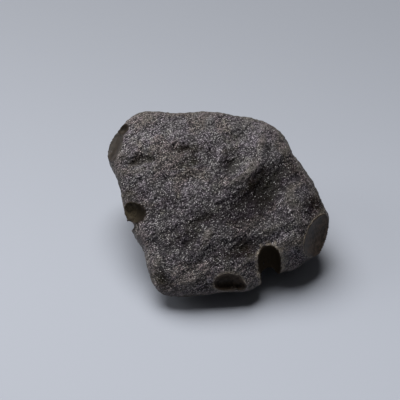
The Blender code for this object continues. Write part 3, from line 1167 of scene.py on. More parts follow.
    def mark_shape(self, mesh: bpy.types.Mesh) -> None:
        """Store hollows, borders, the side painted with shade and the patches for the material.

        Args:
            mesh: The stone's mesh.
        """
        places = places_of(mesh)
        normals = normals_of(mesh)
        relaxer = Relaxer(mesh)
        broad = relaxer.relax(places, self.hollow_rounds)
        hollow = np.einsum("ij,ij->i", broad - places, normals) / MM
        broad = relaxer.relax(broad, self.border_rounds)
        border = np.einsum("ij,ij->i", places - broad, normals) / MM
        normals = relaxer.relax(normals, self.facing_rounds)
        facing = normals @ SKETCH.turn(np.array([(0.0, 0.0, 1.0)]))[0]
        # Painted shade: skin turned from the sketch's eye gets the dull colour of wear.
        worn_and_shaded_flank = 1.0 - soft_step(facing, *self.flank_upper)
        worn_and_shaded_flank = worn_and_shaded_flank * soft_step(facing, *self.flank_lower)
        drawn = SKETCH.to_sketch(places)
        noise.seed_set(self.patch_seed)
        wander = [noise.noise_vector(Vector(row * self.patch_waves)) for row in drawn]
        drawn += self.patch_wander * np.array(wander)
        shares = np.array([patch.share(drawn) for patch in PATCHES])
        shares = shares * soft_step(facing, *self.patch_facing)
        # Painted light and shade of the patches.
        tone = np.einsum("i,ij->j", [patch.tone for patch in PATCHES], shares)
        soil = np.einsum("i,ij->j", [patch.soil for patch in PATCHES], shares)
        mark_points(mesh, Attr.HOLLOW, hollow)
        mark_points(mesh, Attr.BORDER, border)
        mark_points(mesh, Attr.WORN_AND_SHADED_FLANK, worn_and_shaded_flank)
        mark_points(mesh, Attr.PAINTED_LIGHT_AND_SHADE, tone)
        mark_points(mesh, Attr.SOIL, soil)
        for name, values in (("hollow", hollow), ("border", border)):
            LOG.info("%s: %s", name, np.percentile(values, (1, 10, 50, 90, 99)).round(3))


def soft_step(values: np.ndarray, low: float, high: float) -> np.ndarray:
    """Return a soft step from 0 at `low` to 1 at `high`."""
    share = np.clip((values - low) / (high - low), 0.0, 1.0)
    return share * share * (3.0 - 2.0 * share)


def move_to(mesh: bpy.types.Mesh, places: np.ndarray) -> None:
    """Move a mesh's vertices to new places."""
    mesh.vertices.foreach_set("co", places.ravel())
    mesh.update()


def scar_distances(places: np.ndarray) -> np.ndarray:
    """Return one row for each scar, with every place's distance to it in mm."""
    drawn = SKETCH.to_sketch(places)
    return np.array([scoop.distance(drawn) for scoop in SCOOPS])


# ---------------------------------------------------------------------------- the glass


@dataclass(frozen=True)
class Mottle:
    """A share that follows a noise.

    Attributes:
        even: The share where the noise is 0.
        swing: How much it grows until the noise is 1.
    """

    even: float
    swing: float

    def of(self, value: Value) -> Value:
        """Return the share where the noise has a value."""
        return self.even + value * self.swing


@dataclass(frozen=True)
class Clouds:
    """The noises that drift over the stone.

    Attributes:
        grit: Fine grit between the granules.
        patch: Patches of a few mm, more or less granular.
        lines: Thin lines along the flow.
        warm: Broad drifts of browner skin.
        moss: Broad drifts of greener skin.
        mauve: Broad drifts of the mauve cast.
        veins: Veins of the dusting on bare glass.
        frost: The finest unevenness of the skin.
        ripple: Slow ripples along the flow on bare glass.
    """

    grit: Cloud = Cloud(3.4, 2.0, 0.6)
    patch: Cloud = Cloud(0.45, 3.0, 0.6)
    lines: Cloud = Cloud(0.9, 4.0, 0.6, 0.3)
    warm: Cloud = Cloud(0.13, 2.0, 0.5, 0.5)
    moss: Cloud = Cloud(0.21, 3.0, 0.55, 0.3)
    mauve: Cloud = Cloud(0.30, 2.0, 0.5, 0.5)
    veins: Cloud = Cloud(0.9, 4.0, 0.65, 0.9)
    frost: Cloud = Cloud(6.5, 2.0, 0.6)
    ripple: Cloud = Cloud(0.6, 2.0, 0.5)


@dataclass(frozen=True)
class Steps:
    """Where each soft step over the stone starts and ends.

    Attributes:
        gap: Distance from a granule's middle at which the painted shade of its gap starts, in
            granules.
        painted_upper_left_light: Way toward the upper left over which the skin is painted paler
            as light, in mm.
        rubbed_and_lit: How far a border stands out where it is abraded and painted paler as
            light, in mm.
        ridge: The same, where it stands out most and is painted palest as light.
        sunk: The same, where it lies low and is painted darker as shade.
        painted_deep_shade: The same, where a scar is deep and its glass is painted dark as
            shade.
        edge: Depth of the hollow, below 0 on an edge, where edges are smooth, in mm.
        shallow: The same, where crests start to fade.
        filled: The same, where soil gathers.
        lip: Closeness to a rim at which it turns paler.
        warm: Noise at which the skin turns browner.
        moss: Noise at which it turns greener.
        mauve: Noise at which its cast turns mauve.
        painted_glint_luck: Luck that makes a granule a painted glint.
        painted_glint_size: Distance from a granule's middle at which its painted glint ends, in
            granules.
        veins: Noise at which the dusting lies in veins.
        painted_rim_shadow: Share of bare glass at which the painted shadow line along a rim
            starts and is full.
        painted_rim_shadow_end: The same, where that line ends.
        painted_rim_shadow_dust: Share of dusting and painted paleness under which the line
            shows.
        painted_rim_highlight: Share of bare glass at which the painted highlight line along a
            rim starts and is full.
        painted_rim_highlight_end: The same, where that line ends.
        painted_rim_highlight_matte: Dullness under which the line shows.
        painted_rim_highlight_dust: Share of dusting and painted paleness above which it shows.
        olive: Dullness at which the dusting turns olive.
        painted_notch_shade: Dullness at which a scar counts as the deep notch, whose inside is
            painted as shade.
        dull: Dullness at which a scar's gloss goes.
    """

    gap: Step = (0.34, 0.66)
    painted_upper_left_light: Step = (0.0, 26.0)
    rubbed_and_lit: Step = (0.35, 1.1)
    ridge: Step = (0.9, 1.5)
    sunk: Step = (0.0, -0.65)
    painted_deep_shade: Step = (-1.1, -2.2)
    edge: Step = (-0.16, -0.45)
    shallow: Step = (0.02, 0.35)
    filled: Step = (0.05, 0.4)
    lip: Step = (0.28, 0.80)
    warm: Step = (0.50, 0.62)
    moss: Step = (0.55, 0.68)
    mauve: Step = (0.36, 0.64)
    painted_glint_luck: Step = (0.90, 0.94)
    painted_glint_size: Step = (0.50, 0.30)
    veins: Step = (0.42, 0.60)
    painted_rim_shadow: Step = (0.15, 0.5)
    painted_rim_shadow_end: Step = (0.98, 0.7)
    painted_rim_shadow_dust: Step = (0.28, 0.18)
    painted_rim_highlight: Step = (0.2, 0.5)
    painted_rim_highlight_end: Step = (0.8, 0.5)
    painted_rim_highlight_matte: Step = (0.6, 0.4)
    painted_rim_highlight_dust: Step = (0.3, 0.45)
    olive: Step = (0.8, 0.88)
    painted_notch_shade: Step = (0.92, 0.99)
    dull: Step = (0.3, 0.95)


class Ground:
    """What varies over the stone, as values that the finish mixes.

    Attributes:
        graph: The graph that they are in.
        steps: Where each soft step starts and ends.
        position: The position in metres.
        place: The position in mm along the flow.
        along: The same, with patterns a little longer along the flow.
        streak: The same, with patterns drawn out to lines.
        scar: Share of bare glass.
        hollow: Depth of the hollow, in mm.
        border: How far the border stands out, in mm.
        relief: Height of the raised relief, in mm.
        matte: Dullness of the nearest scar.
        scar_dust_and_painted_light: Dusting and painted paleness of the nearest scar.
        worn_and_shaded_flank: How far the skin turns from the eye, taking the colour of wear as
            painted shade.
        grit: Fine grit.
        patch: Patches of a few mm.
        lines: Thin lines along the flow.
        cell: The granules' random colours.
        chance: A granule's first random number.
        lucky: Its second random number.
        apart: Distance from its middle, in granules.
        painted_upper_left_light: How far the skin is painted paler as light toward the upper
            left.
        rubbed_and_lit: How far a border is abraded and painted paler as light.
        sunk: How low the skin lies, where it is painted darker as shade and tinted greener.
        dark: How much darker a patch is painted, as shade.
        light: How much paler a patch is painted, as light.
        soil: How much soil stayed in.
        edge: How smooth an edge is.
        lip: How much paler a rim is.
        dust_and_painted_light: Dusting and painted paleness on bare glass.
    """

    def __init__(self, graph: Graph, finish: "TektiteGlass") -> None:
        """Read everything that the finish mixes.

        Args:
            graph: The graph that gets the nodes.
            finish: The finish, with its noises and steps.
        """
        clouds, steps = finish.clouds, finish.steps
        self.graph, self.steps = graph, steps
        self.position = graph.node("ShaderNodeTexCoord").outputs["Object"]
        self.place, self.along, self.streak = [
            FLOW.place(graph, self.position, stretch) for stretch in finish.stretches
        ]
        self.scar = graph.attribute(Attr.SCAR)
        self.hollow = graph.attribute(Attr.HOLLOW)
        self.border = graph.attribute(Attr.BORDER)
        self.relief = graph.attribute(Attr.GRAIN)
        self.matte = graph.attribute(Attr.MATTE)
        self.scar_dust_and_painted_light = graph.attribute(Attr.DUST_AND_PAINTED_LIGHT)
        # Painted shade on the skin turned from the eye.
        self.worn_and_shaded_flank = graph.attribute(Attr.WORN_AND_SHADED_FLANK) * (1.0 - self.scar)
        self.grit = clouds.grit.over(graph, self.along)
        self.patch = clouds.patch.over(graph, self.place)
        self.lines = clouds.lines.over(graph, self.streak)
        granules = graph.cells(self.along, 1.0 / finish.granule)
        self.cell = granules.outputs["Color"]
        self.chance = graph.dot(self.cell, (1.0, 0.0, 0.0))
        self.lucky = graph.dot(self.cell, (0.0, 1.0, 0.0))
        self.apart = Value(graph, granules.outputs["Distance"])
        # Painted light: the skin is paler toward the upper left, the side the light comes from.
        way = SKETCH.turn(np.array([finish.painted_light_way]))[0]
        reach = graph.dot(self.position, tuple(float(c) / MM for c in way))
        self.painted_upper_left_light = reach.ramp(*steps.painted_upper_left_light)
        # Outstanding borders: abraded, and painted paler as light.
        self.rubbed_and_lit = self.border.ramp(*steps.rubbed_and_lit)
        # Painted shade: low skin is darker, and greener.
        self.sunk = self.border.ramp(*steps.sunk)
        # Painted light and shade: dark is painted shade, light is painted light.
        tone = graph.attribute(Attr.PAINTED_LIGHT_AND_SHADE) * finish.painted_light_and_shade_mottle.of(self.patch)
        self.dark = (-tone).clamped()
        self.light = (tone * 0.5).clamped() * 2.0
        self.soil = (graph.attribute(Attr.SOIL) * finish.soil_mottle.of(self.patch)).clamped()
        self.edge = self.hollow.ramp(*steps.edge)
        self.lip = graph.attribute(Attr.RIM).ramp(*steps.lip) * (1.0 - self.scar)
        veins = clouds.veins.over(graph, self.place).ramp(*steps.veins)
        # Dusting on bare glass, which also carries the scars' painted light and shade.
        dust_and_painted_light = finish.dust_veins.of(veins) + (self.grit - MEAN) * finish.dust_grit
        dust_and_painted_light = dust_and_painted_light + (self.lines - MEAN) * finish.dust_lines
        self.dust_and_painted_light = (self.scar_dust_and_painted_light * dust_and_painted_light).clamped()


@dataclass(frozen=True)
class Crests:
    """How pale the skin comes out, above all on its crests, with painted light and shade.

    Attributes:
        luck_power: How rare the granules are that are pale by luck.
        luck: How pale these are.
        relief: Share of the raised relief, per mm, which paints grain tops paler and pits darker
            as light and shade.
        grit: Share of the fine grit.
        lines: Share of the lines along the flow.
        threshold: What all of these have to pass.
        common: How much the crests show everywhere.
        patch: How much more they show in the granular patches.
        painted_upper_left_light: How much more toward the upper left, as painted light.
        rubbed_and_lit: How much more on abraded borders, as painted light.
        light: How much more in the patches painted with light.
        shallow_loss: Share that they lose in hollows.
        sunk_loss: Share that they lose where the skin lies low, as painted shade.
        dark_loss: Share that they lose in the patches painted with shade.
        soil_loss: Share that they lose under soil.
        lip_lift: How much paler all of the skin is along rims.
        painted_upper_left_lift: How much paler it is painted toward the upper left, as light.
        rubbed_and_lit_lift: How much paler abraded borders are painted, as light.
        light_lift: How much paler in the patches painted with light.
        ridge_lift: How much paler the borders that stand out most are painted, as light.
    """

    luck_power: float = 5.0
    luck: float = 3.5
    relief: float = 1.2
    grit: float = 1.2
    lines: float = 1.15
    threshold: float = 0.02
    common: float = 0.20
    patch: float = 0.75
    painted_upper_left_light: float = 0.85
    rubbed_and_lit: float = 0.75
    light: float = 0.9
    shallow_loss: float = 0.3
    sunk_loss: float = 0.7
    dark_loss: float = 0.6
    soil_loss: float = 0.75
    lip_lift: Mottle = Mottle(0.14, 0.6)
    painted_upper_left_lift: float = 0.19
    rubbed_and_lit_lift: float = 0.10
    light_lift: Mottle = Mottle(0.05, 0.25)
    ridge_lift: Mottle = Mottle(0.06, 0.36)

    def share(self, on: Ground) -> Value:
        """Return how pale the skin is.

        Args:
            on: What varies over the stone.

        Returns:
            A share from 0, as dark as the skin's ground, to 1, as pale as a crest.
        """
        # Painted light and shade: the relief term makes grain tops paler and pits darker.
        crest = on.chance ** self.luck_power * self.luck + on.relief * self.relief
        crest = crest + (on.grit - MEAN) * self.grit + (on.lines - MEAN) * self.lines
        # Painted light: crests show more toward the upper left, on outstanding borders and in
        # the patches painted with light.
        gain = self.common + on.patch * self.patch + on.painted_upper_left_light * self.painted_upper_left_light
        gain = gain + on.rubbed_and_lit * self.rubbed_and_lit + on.light * self.light
        share = (crest - self.threshold) * gain
        # Painted shade: crests fade in low skin and in the patches painted with shade; hollows
        # and soil take them too.
        losses = (
            (on.hollow.ramp(*on.steps.shallow), self.shallow_loss),
            (on.sunk, self.sunk_loss),
            (on.dark, self.dark_loss),
            (on.soil, self.soil_loss),
        )
        share = weakened(share, losses)
        # Painted light: the skin is paler toward the upper left, on outstanding borders and in
        # the patches painted with light.
        share = share + on.lip * self.lip_lift.of(on.grit) + on.painted_upper_left_light * self.painted_upper_left_lift
        share = share + on.rubbed_and_lit * self.rubbed_and_lit_lift + on.light * self.light_lift.of(on.grit)
        ridge = on.border.ramp(*on.steps.ridge)
        return (share + ridge * self.ridge_lift.of(on.grit)).clamped()


# Painted highlight: pale granules stand in for light caught by the skin.
@dataclass(frozen=True)
class PaintedGlints:
    """Painted glints: pale granules painted into the colour in place of highlights.

    Attributes:
        lip: How much luckier the granules along rims are.
        light: How much luckier they are in the patches painted with light.
        patch: How much luckier in the granular patches.
        strength: How pale a painted glint is, by its granule's own number.
        flank_loss: Share that the painted glints lose on the side painted with shade.
        soil_loss: Share that they lose under soil.
        edge_loss: Share that they lose on smooth edges.
        cover: Share of the skin's colour that a full painted glint covers.
    """

    lip: float = 0.14
    light: float = 0.05
    patch: float = 0.16
    strength: Mottle = Mottle(0.3, 1.2)
    flank_loss: float = 0.8
    soil_loss: float = 0.6
    edge_loss: float = 0.7
    cover: float = 0.7

    def share(self, on: Ground) -> Value:
        """Return how much of the skin the painted glints cover.

        Args:
            on: What varies over the stone.

        Returns:
            A share from 0 to 1.
        """
        luck = on.lucky + on.lip * self.lip + on.light * self.light
        luck = luck + (on.patch - MEAN) * self.patch
        painted_glints = luck.ramp(*on.steps.painted_glint_luck) * on.apart.ramp(*on.steps.painted_glint_size)
        painted_glints = painted_glints * (1.0 - on.worn_and_shaded_flank * self.flank_loss) * self.strength.of(on.chance)
        losses = ((on.soil, self.soil_loss), (on.edge, self.edge_loss))
        return weakened(painted_glints, losses).clamped() * self.cover


@dataclass(frozen=True)
class Relief:
    """The unevenness that is too fine for the mesh.

    Attributes:
        tilt: How far the granules' faces are tilted.
        dome: Height of a granule's dome.
        dome_fall: How fast the dome falls away from its middle.
        grit: Height of the grit.
        lines: Height of the lines along the flow.
        frost: Height of the finest unevenness.
        edge_loss: Share that all of it loses on smooth edges.
        soil_loss: Share that it loses under soil.
        flank_loss: Share that it loses on the side painted with shade.
        height: Height of all of it, in mm.
        bare_ripple: Height of the ripples on bare glass, in mm.
        bare_grit: Height of the grit there, in mm.
        bare_patch: Height of its slow waves, in mm.
    """

    tilt: float = 1.1
    dome: float = 0.30
    dome_fall: float = 1.8
    grit: float = 0.55
    lines: float = 0.4
    frost: float = 0.15
    edge_loss: float = 0.5
    soil_loss: float = 0.5
    flank_loss: float = 0.4
    height: float = 0.42
    bare_ripple: float = 0.025
    bare_grit: float = 0.025
    bare_patch: float = 0.12

    def bump(self, on: Ground, clouds: Clouds) -> bpy.types.NodeSocket:
        """Return the normal of the uneven surface.

        Args:
            on: What varies over the stone.
            clouds: The noises.

        Returns:
            The output of a Bump node.
        """
        graph = on.graph
        tilt = graph.vector("SUBTRACT", on.cell, (MEAN, MEAN, MEAN))
        flat = graph.node("ShaderNodeNewGeometry").outputs["Normal"]
        facets = graph.vector("ADD", flat, graph.scaled(tilt, (1.0 - on.scar) * self.tilt))
        facets = graph.vector("NORMALIZE", facets, (0.0, 0.0, 0.0))
        dome = 1.0 - on.apart * on.apart * self.dome_fall
        skin = dome * self.dome + on.grit * self.grit + on.lines * self.lines
        skin = skin + clouds.frost.over(graph, on.place) * self.frost
        losses = (
            (on.scar, 1.0),
            (on.edge, self.edge_loss),
            (on.soil, self.soil_loss),
            (on.worn_and_shaded_flank, self.flank_loss),
        )
        skin = weakened(skin, losses) * self.height
        bare = clouds.ripple.over(graph, on.streak) * self.bare_ripple
        bare = bare + on.grit * self.bare_grit + on.patch * self.bare_patch
        sockets = {"Height": skin + bare * on.scar, "Normal": facets, "Strength": 1.0}
        made = graph.node("ShaderNodeBump", {}, {**sockets, "Distance": MM})
        return made.outputs[0]


@dataclass(frozen=True)
class TektiteGlass:
    """The stone's finish: frosted granular skin, bare glass in the scars, painted light and
    shade.

    Attributes:
        skin: Colour of the skin on level ground.
        crest: Colour of the skin's pale crests, also the colour of the painted light on borders,
            grain tops, the upper left and the lighter patches.
        valley: Colour of the broad hollows, with a little olive soil in them.
        rim: Colour of the paler rims, and of the painted highlight line along the rims of dusted
            scars.
        warm: Browner skin that drifts over parts of the stone.
        warm_crest: Its crests.
        moss: Greener skin.
        moss_crest: Its crests.
        worn_and_shaded: Colour of smooth edges from wear, also laid as painted shade where the
            skin turns from the eye.
        painted_glint: Colour of the painted glints.
        green_cast: Slight cast over parts of the skin.
        mauve_cast: Slight cast over the others.
        glass: Colour of the bare glass.
        amber: Colour of the glass where it is thin or dusted, and where a scar is painted paler.
        painted_deep_shade: Colour painted as shade deep inside a scar and along a rim's painted
            shadow line.
        painted_notch_shade: Colour painted inside the deep notch as its shade.
        olive: Colour of the thin soil on a dull floor.
        clouds: The noises.
        steps: Where each soft step starts and ends.
        crests: How pale the skin comes out.
        painted_glints: The painted glints.
        relief: The finest unevenness.
        stretches: How many times longer patterns, granules and lines are along the flow.
        granule: Size of the skin's finest granules, in mm.
        painted_light_way: The way in the sketch that painted light makes the skin paler.
        painted_light_and_shade_mottle: How uneven the painted light and shade of the patches
            are.
        soil_mottle: How uneven the soil is.
        dust_veins: How much dusting and painted paleness bare glass has, by its veins.
        dust_grit: Share of the grit in the dusting.
        dust_lines: Share of the lines in it.
        warm_border: How much browner the outstanding borders are.
        moss_drift: How much greener the green drifts are.
        moss_sunk: How much greener the low skin is.
        gap_cover: How much darker the gaps between granules are painted, as shade.
        filled_cover: How much soil every hollow holds.
        soil_cover: How much a soiled patch holds.
        edge_cover: How much smooth edges take the colour of wear.
        flank_cover: How much the skin turned from the eye takes it, as painted shade.
        lip_grit: Grit above which a rubbed rim is pale.
        lip_cover: How fast it turns pale above that.
        olive_cover: How olive the dusting of a dull scar is.
        painted_deep_shade_cover: How dark a deep scar is painted as shade.
        painted_rim_shadow_cover: How dark the painted shadow line along a clean scar's rim is.
        painted_rim_highlight_grit: How the painted highlight line along a dusted scar's rim
            follows the grit.
        skin_rough: Roughness of the skin.
        grit_rough: How far grit changes it.
        chance_rough: How far it differs from granule to granule.
        glass_rough: Roughness of the bare glass.
        dust_rough: How much rougher glass is under its dusting and painted paleness.
        matte_rough: How much rougher dull glass is.
        bend: The glass's index of refraction.
        gloss: Strength of its reflections.
        soil_dull: How much soil takes the gloss away.
        dark_dull: How much a patch painted with shade does.
    """

    skin: Colour = (0.0160, 0.0120, 0.0175, 1.0)
    crest: Colour = (0.450, 0.425, 0.458, 1.0)
    valley: Colour = (0.0215, 0.0185, 0.0098, 1.0)
    rim: Colour = (0.380, 0.325, 0.255, 1.0)
    warm: Colour = (0.0185, 0.0134, 0.0122, 1.0)
    warm_crest: Colour = (0.462, 0.400, 0.388, 1.0)
    moss: Colour = (0.015, 0.0152, 0.0118, 1.0)
    moss_crest: Colour = (0.430, 0.415, 0.355, 1.0)
    worn_and_shaded: Colour = (0.078, 0.070, 0.056, 1.0)
    painted_glint: Colour = (0.860, 0.850, 0.855, 1.0)
    green_cast: Colour = (0.99, 1.01, 0.96, 1.0)
    mauve_cast: Colour = (1.04, 0.98, 1.05, 1.0)
    glass: Colour = (0.019, 0.0155, 0.0120, 1.0)
    amber: Colour = (0.126, 0.090, 0.067, 1.0)
    painted_deep_shade: Colour = (0.012, 0.0075, 0.0045, 1.0)
    painted_notch_shade: Colour = (0.050, 0.038, 0.025, 1.0)
    olive: Colour = (0.092, 0.080, 0.052, 1.0)
    clouds: Clouds = Clouds()
    steps: Steps = Steps()
    crests: Crests = Crests()
    painted_glints: PaintedGlints = PaintedGlints()
    relief: Relief = Relief()
    stretches: Triple = (1.0, 1.3, 5.0)
    granule: float = 0.25
    painted_light_way: Triple = (-0.5, 0.87, 0.0)
    painted_light_and_shade_mottle: Mottle = Mottle(0.85, 0.3)
    soil_mottle: Mottle = Mottle(0.4, 1.2)
    dust_veins: Mottle = Mottle(0.35, 0.9)
    dust_grit: float = 1.6
    dust_lines: float = 1.4
    warm_border: float = 0.8
    moss_drift: float = 0.6
    moss_sunk: float = 0.4
    gap_cover: float = 0.85
    filled_cover: float = 0.15
    soil_cover: float = 0.75
    edge_cover: float = 0.4
    flank_cover: float = 0.5
    lip_grit: float = 0.34
    lip_cover: float = 3.6
    olive_cover: float = 0.8
    painted_deep_shade_cover: float = 0.75
    painted_rim_shadow_cover: float = 0.65
    painted_rim_highlight_grit: Mottle = Mottle(-0.6, 2.6)
    skin_rough: float = 0.46
    grit_rough: float = 0.3
    chance_rough: float = 0.25
    glass_rough: float = 0.30
    dust_rough: float = 0.22
    matte_rough: float = 0.3
    bend: float = 1.5
    gloss: float = 0.35
    soil_dull: float = 0.9
    dark_dull: float = 0.6

    def build(self) -> bpy.types.Material:
        """Make the material.

        Returns:
            The material.
        """
        material = bpy.data.materials.new("tektite glass")
        material.use_nodes = True
        material.node_tree.nodes.clear()
        graph = Graph(material.node_tree)
        on = Ground(graph, self)
        colour = self.scar_colour(on, self.skin_colour(on))
        normal = self.relief.bump(on, self.clouds)
        # Painted shade: the inside of the deep notch takes one flat dark brown.
        painted_notch_shaded = graph.mixed(on.matte.ramp(*self.steps.painted_notch_shade) * on.scar, colour, self.painted_notch_shade)
        glossy = graph.principled(colour, self.roughness(on), normal, self.gloss)
        glossy.inputs["IOR"].default_value = self.bend
        dull = graph.principled(painted_notch_shaded, 1.0, normal, 0.0)
        mild = (on.soil * self.soil_dull + on.dark * self.dark_dull).clamped() * (1.0 - on.scar)
        share = on.matte.ramp(*self.steps.dull) * on.scar + mild
        sides = {0: share, 1: glossy.outputs[0], 2: dull.outputs[0]}
        both = graph.node("ShaderNodeMixShader", {}, sides)
        graph.node("ShaderNodeOutputMaterial", {}, {"Surface": both.outputs[0]})
        LOG.info("material made: %s", material.name)
        return material

    def skin_colour(self, on: Ground) -> Value:
        """Return the skin's colour, with crests, soil, rims, painted light and shade and painted
        glints.

        Args:
            on: What varies over the stone.

        Returns:
            The colour.
        """
        graph, steps = on.graph, self.steps
        warm = self.clouds.warm.over(graph, on.place).ramp(*steps.warm)
        warm = (warm + on.rubbed_and_lit * self.warm_border).clamped()
        moss = self.clouds.moss.over(graph, on.place).ramp(*steps.moss)
        moss = (moss * self.moss_drift + on.sunk * self.moss_sunk).clamped()
        mauve = self.clouds.mauve.over(graph, on.place).ramp(*steps.mauve)
        ground = graph.mixed(moss, graph.mixed(warm, self.skin, self.warm), self.moss)
        crest = graph.mixed(warm, self.crest, self.warm_crest)
        crest = graph.mixed(moss, crest, self.moss_crest)
        colour = graph.mixed(self.crests.share(on), ground, crest)
        # Painted shade: the gaps between granules are darkened.
        gap = on.apart.ramp(*steps.gap) * self.gap_cover
        colour = graph.mixed(gap, colour, self.skin)
        filled = on.hollow.ramp(*steps.filled) * self.filled_cover
        filled = (filled + on.soil * self.soil_cover).clamped()
        colour = graph.mixed(filled, colour, self.valley)
        cast = graph.mixed(mauve, self.green_cast, self.mauve_cast)
        colour = graph.vector("MULTIPLY", colour, cast)
        # Smooth edges take the colour of wear; the skin turned from the eye takes it as painted
        # shade.
        worn_and_shaded = (on.edge * self.edge_cover + on.worn_and_shaded_flank * self.flank_cover).clamped()
        colour = graph.mixed(worn_and_shaded, colour, self.worn_and_shaded)
        lip = (on.lip * (on.grit - self.lip_grit) * self.lip_cover).clamped()
        colour = graph.mixed(lip, colour, self.rim)
        # Painted highlight: pale glints laid over the skin's colour.
        return graph.mixed(self.painted_glints.share(on), colour, self.painted_glint)

    def scar_colour(self, on: Ground, colour: Value) -> Value:
        """Return the skin's colour, with the scars' bare glass and their painted shade and rim
        lines.

        Args:
            on: What varies over the stone.
            colour: The colour of the skin.

        Returns:
            The colour of both.
        """
        graph, steps, scar = on.graph, self.steps, on.scar
        olive = on.matte.ramp(*steps.olive) * self.olive_cover
        # Dusted floors and floors painted paler take the amber colour.
        bare = graph.mixed(on.dust_and_painted_light, self.glass, graph.mixed(olive, self.amber, self.olive))
        # Painted shade: glass deep inside a scar is painted dark.
        bare = graph.mixed(on.border.ramp(*steps.painted_deep_shade) * self.painted_deep_shade_cover, bare, self.painted_deep_shade)
        colour = graph.mixed(scar, colour, bare)
        # Painted shadow: a dark line along the rim of a clean scar, as if a lip cast shade into
        # it.
        painted_rim_shadow = scar.ramp(*steps.painted_rim_shadow) * scar.ramp(*steps.painted_rim_shadow_end)
        painted_rim_shadow = painted_rim_shadow * on.scar_dust_and_painted_light.ramp(*steps.painted_rim_shadow_dust)
        colour = graph.mixed(painted_rim_shadow * self.painted_rim_shadow_cover, colour, self.painted_deep_shade)
        # Painted highlight: a pale line along the rim of a dusted scar, where its edge would
        # catch the light.
        painted_rim_highlight = scar.ramp(*steps.painted_rim_highlight) * scar.ramp(*steps.painted_rim_highlight_end)
        painted_rim_highlight = painted_rim_highlight * on.matte.ramp(*steps.painted_rim_highlight_matte) * on.scar_dust_and_painted_light.ramp(*steps.painted_rim_highlight_dust)
        painted_rim_highlight = (painted_rim_highlight * self.painted_rim_highlight_grit.of(on.grit)).clamped()
        return graph.mixed(painted_rim_highlight, colour, self.rim)

    def roughness(self, on: Ground) -> Value:
        """Return the roughness of skin and bare glass.

        Args:
            on: What varies over the stone.

        Returns:
            The roughness.
        """
        skin = self.skin_rough + (on.grit - MEAN) * self.grit_rough
        skin = skin + (on.chance - MEAN) * self.chance_rough
        bare = self.glass_rough + on.dust_and_painted_light * self.dust_rough + on.matte * self.matte_rough
        return (skin * (1.0 - on.scar) + bare * on.scar).clamped()


# ---------------------------------------------------------------------------- the studio


@dataclass(frozen=True)
class Softbox:
    """One round soft light that points at the stone.

    Attributes:
        name: Its name.
        place: Where it hangs, in metres.
        across: Its diameter, in metres.
        power: Its power, in watts.
        tint: Its colour.
    """

    name: str
    place: Triple
    across: float
    power: float
    tint: Triple

    def build(self) -> bpy.types.Object:
        """Hang the light.

        Returns:
            The light's object.
        """
        light = bpy.data.lights.new(self.name, "AREA")
        light.shape = "DISK"
        light.size = self.across
        light.energy = self.power
        light.color = self.tint
        lamp = bpy.data.objects.new(self.name, light)
        lamp.location = self.place
        lamp.rotation_euler = (-Vector(self.place)).to_track_quat("-Z", "Y").to_euler()
        bpy.context.scene.collection.objects.link(lamp)
        return lamp


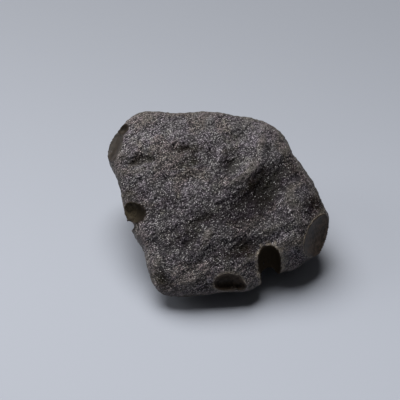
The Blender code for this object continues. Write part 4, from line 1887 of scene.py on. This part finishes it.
@dataclass(frozen=True)
class Studio:
    """The pale floor, painted darker toward the back as shade, the soft light and the camera.

    Attributes:
        floor_tone: Colour of the floor.
        painted_floor_fade: Where the painted shade starts to darken the floor toward the back
            and where it ends, in metres.
        painted_fade_way: The way along the floor that the painted shade darkens it.
        painted_floor_far: Share of its colour that the floor keeps at the back, under the
            painted shade.
        floor_side: Side of the square floor, in metres.
        floor_rough: Roughness of the floor.
        sky: Colour of the light from all round.
        sky_strength: Strength of that light.
        boxes: The soft lights.
        pixel: Width of one of the picture's pixels at the stone, in metres.
        middle: The picture's middle in the sketch, as (across, up), in pixels.
        eye: The eye's distance from the stone, in metres.
        sensor: Width of the camera's sensor, in mm.
        near: Distance from which the camera sees, in metres.
    """

    floor_tone: Colour = (0.425, 0.457, 0.532, 1.0)
    painted_floor_fade: Step = (-0.06, 0.16)
    painted_fade_way: Triple = (0.2, 1.0, 0.0)
    painted_floor_far: float = 0.60
    floor_side: float = 6.0
    floor_rough: float = 0.6
    sky: Triple = (0.95, 0.92, 0.90)
    sky_strength: float = 0.05
    boxes: tuple[Softbox, ...] = (
        Softbox("top box", (-0.30, 0.63, 1.275), 1.35, 28.2, (1.0, 0.99, 0.97)),
        Softbox("left box", (-1.20, 0.18, 0.63), 0.75, 3.4, (1.0, 0.98, 0.95)),
    )
    pixel: float = 0.25 * MM
    middle: Step = (-18.5, 3.3)
    eye: float = 0.42
    sensor: float = 36.0
    near: float = 0.01

    def build(self) -> None:
        """Set up the floor, lights, world and camera."""
        self.lay_floor()
        for box in self.boxes:
            box.build()
        world = bpy.data.worlds.new("soft room")
        world.use_nodes = True
        world.node_tree.nodes.clear()
        graph = Graph(world.node_tree)
        back = graph.node("ShaderNodeBackground")
        back.inputs["Color"].default_value = (*self.sky, 1.0)
        back.inputs["Strength"].default_value = self.sky_strength
        graph.node("ShaderNodeOutputWorld", {}, {"Surface": back.outputs[0]})
        bpy.context.scene.world = world
        bpy.context.scene.view_settings.view_transform = "Standard"
        self.place_camera()
        LOG.info("studio made: %d soft lights", len(self.boxes))

    def lay_floor(self) -> None:
        """Lay the pale floor that the stone rests on, painted darker toward the back as shade.
        """
        half = self.floor_side / 2
        ends = [(-half, -half, 0.0), (half, -half, 0.0), (half, half, 0.0), (-half, half, 0.0)]
        mesh = bpy.data.meshes.new("floor")
        mesh.from_pydata(ends, [], [(0, 1, 2, 3)])
        floor = bpy.data.objects.new("floor", mesh)
        bpy.context.scene.collection.objects.link(floor)
        material = bpy.data.materials.new("pale board")
        material.use_nodes = True
        graph = Graph(material.node_tree)
        shader = material.node_tree.nodes["Principled BSDF"]
        place = graph.node("ShaderNodeTexCoord").outputs["Object"]
        # Painted shade: the floor's colour darkens toward the back, in place of the light's
        # falloff.
        far = graph.dot(place, self.painted_fade_way).ramp(*self.painted_floor_fade)
        darker = tuple(c * self.painted_floor_far for c in self.floor_tone[:3]) + (1.0,)
        graph.feed(shader.inputs["Base Color"], graph.mixed(far, self.floor_tone, darker))
        shader.inputs["Roughness"].default_value = self.floor_rough
        mesh.materials.append(material)

    def place_camera(self) -> None:
        """Put the camera on the sketch's line of sight."""
        across, up, toward = SKETCH.turn(np.eye(3))
        origin = -Vector(SKETCH.stand_point) * MM
        aim = origin + Vector(across) * self.middle[0] * self.pixel
        aim = aim + Vector(up) * self.middle[1] * self.pixel
        data = bpy.data.cameras.new("camera")
        data.sensor_width = self.sensor
        data.lens = self.sensor * self.eye / (PICTURE * self.pixel)
        data.clip_start = self.near
        camera = bpy.data.objects.new("camera", data)
        camera.location = aim + Vector(toward) * self.eye
        camera.rotation_euler = (math.radians(90.0 - SKETCH.drawn_from), 0.0, 0.0)
        bpy.context.scene.collection.objects.link(camera)
        bpy.context.scene.camera = camera


# ---------------------------------------------------------------------------- all of it


def main() -> None:
    """Build the stone and the studio."""
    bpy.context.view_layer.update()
    material = TektiteGlass().build()
    Stone(material).build()
    Studio().build()


if __name__ == "__main__":
    main()
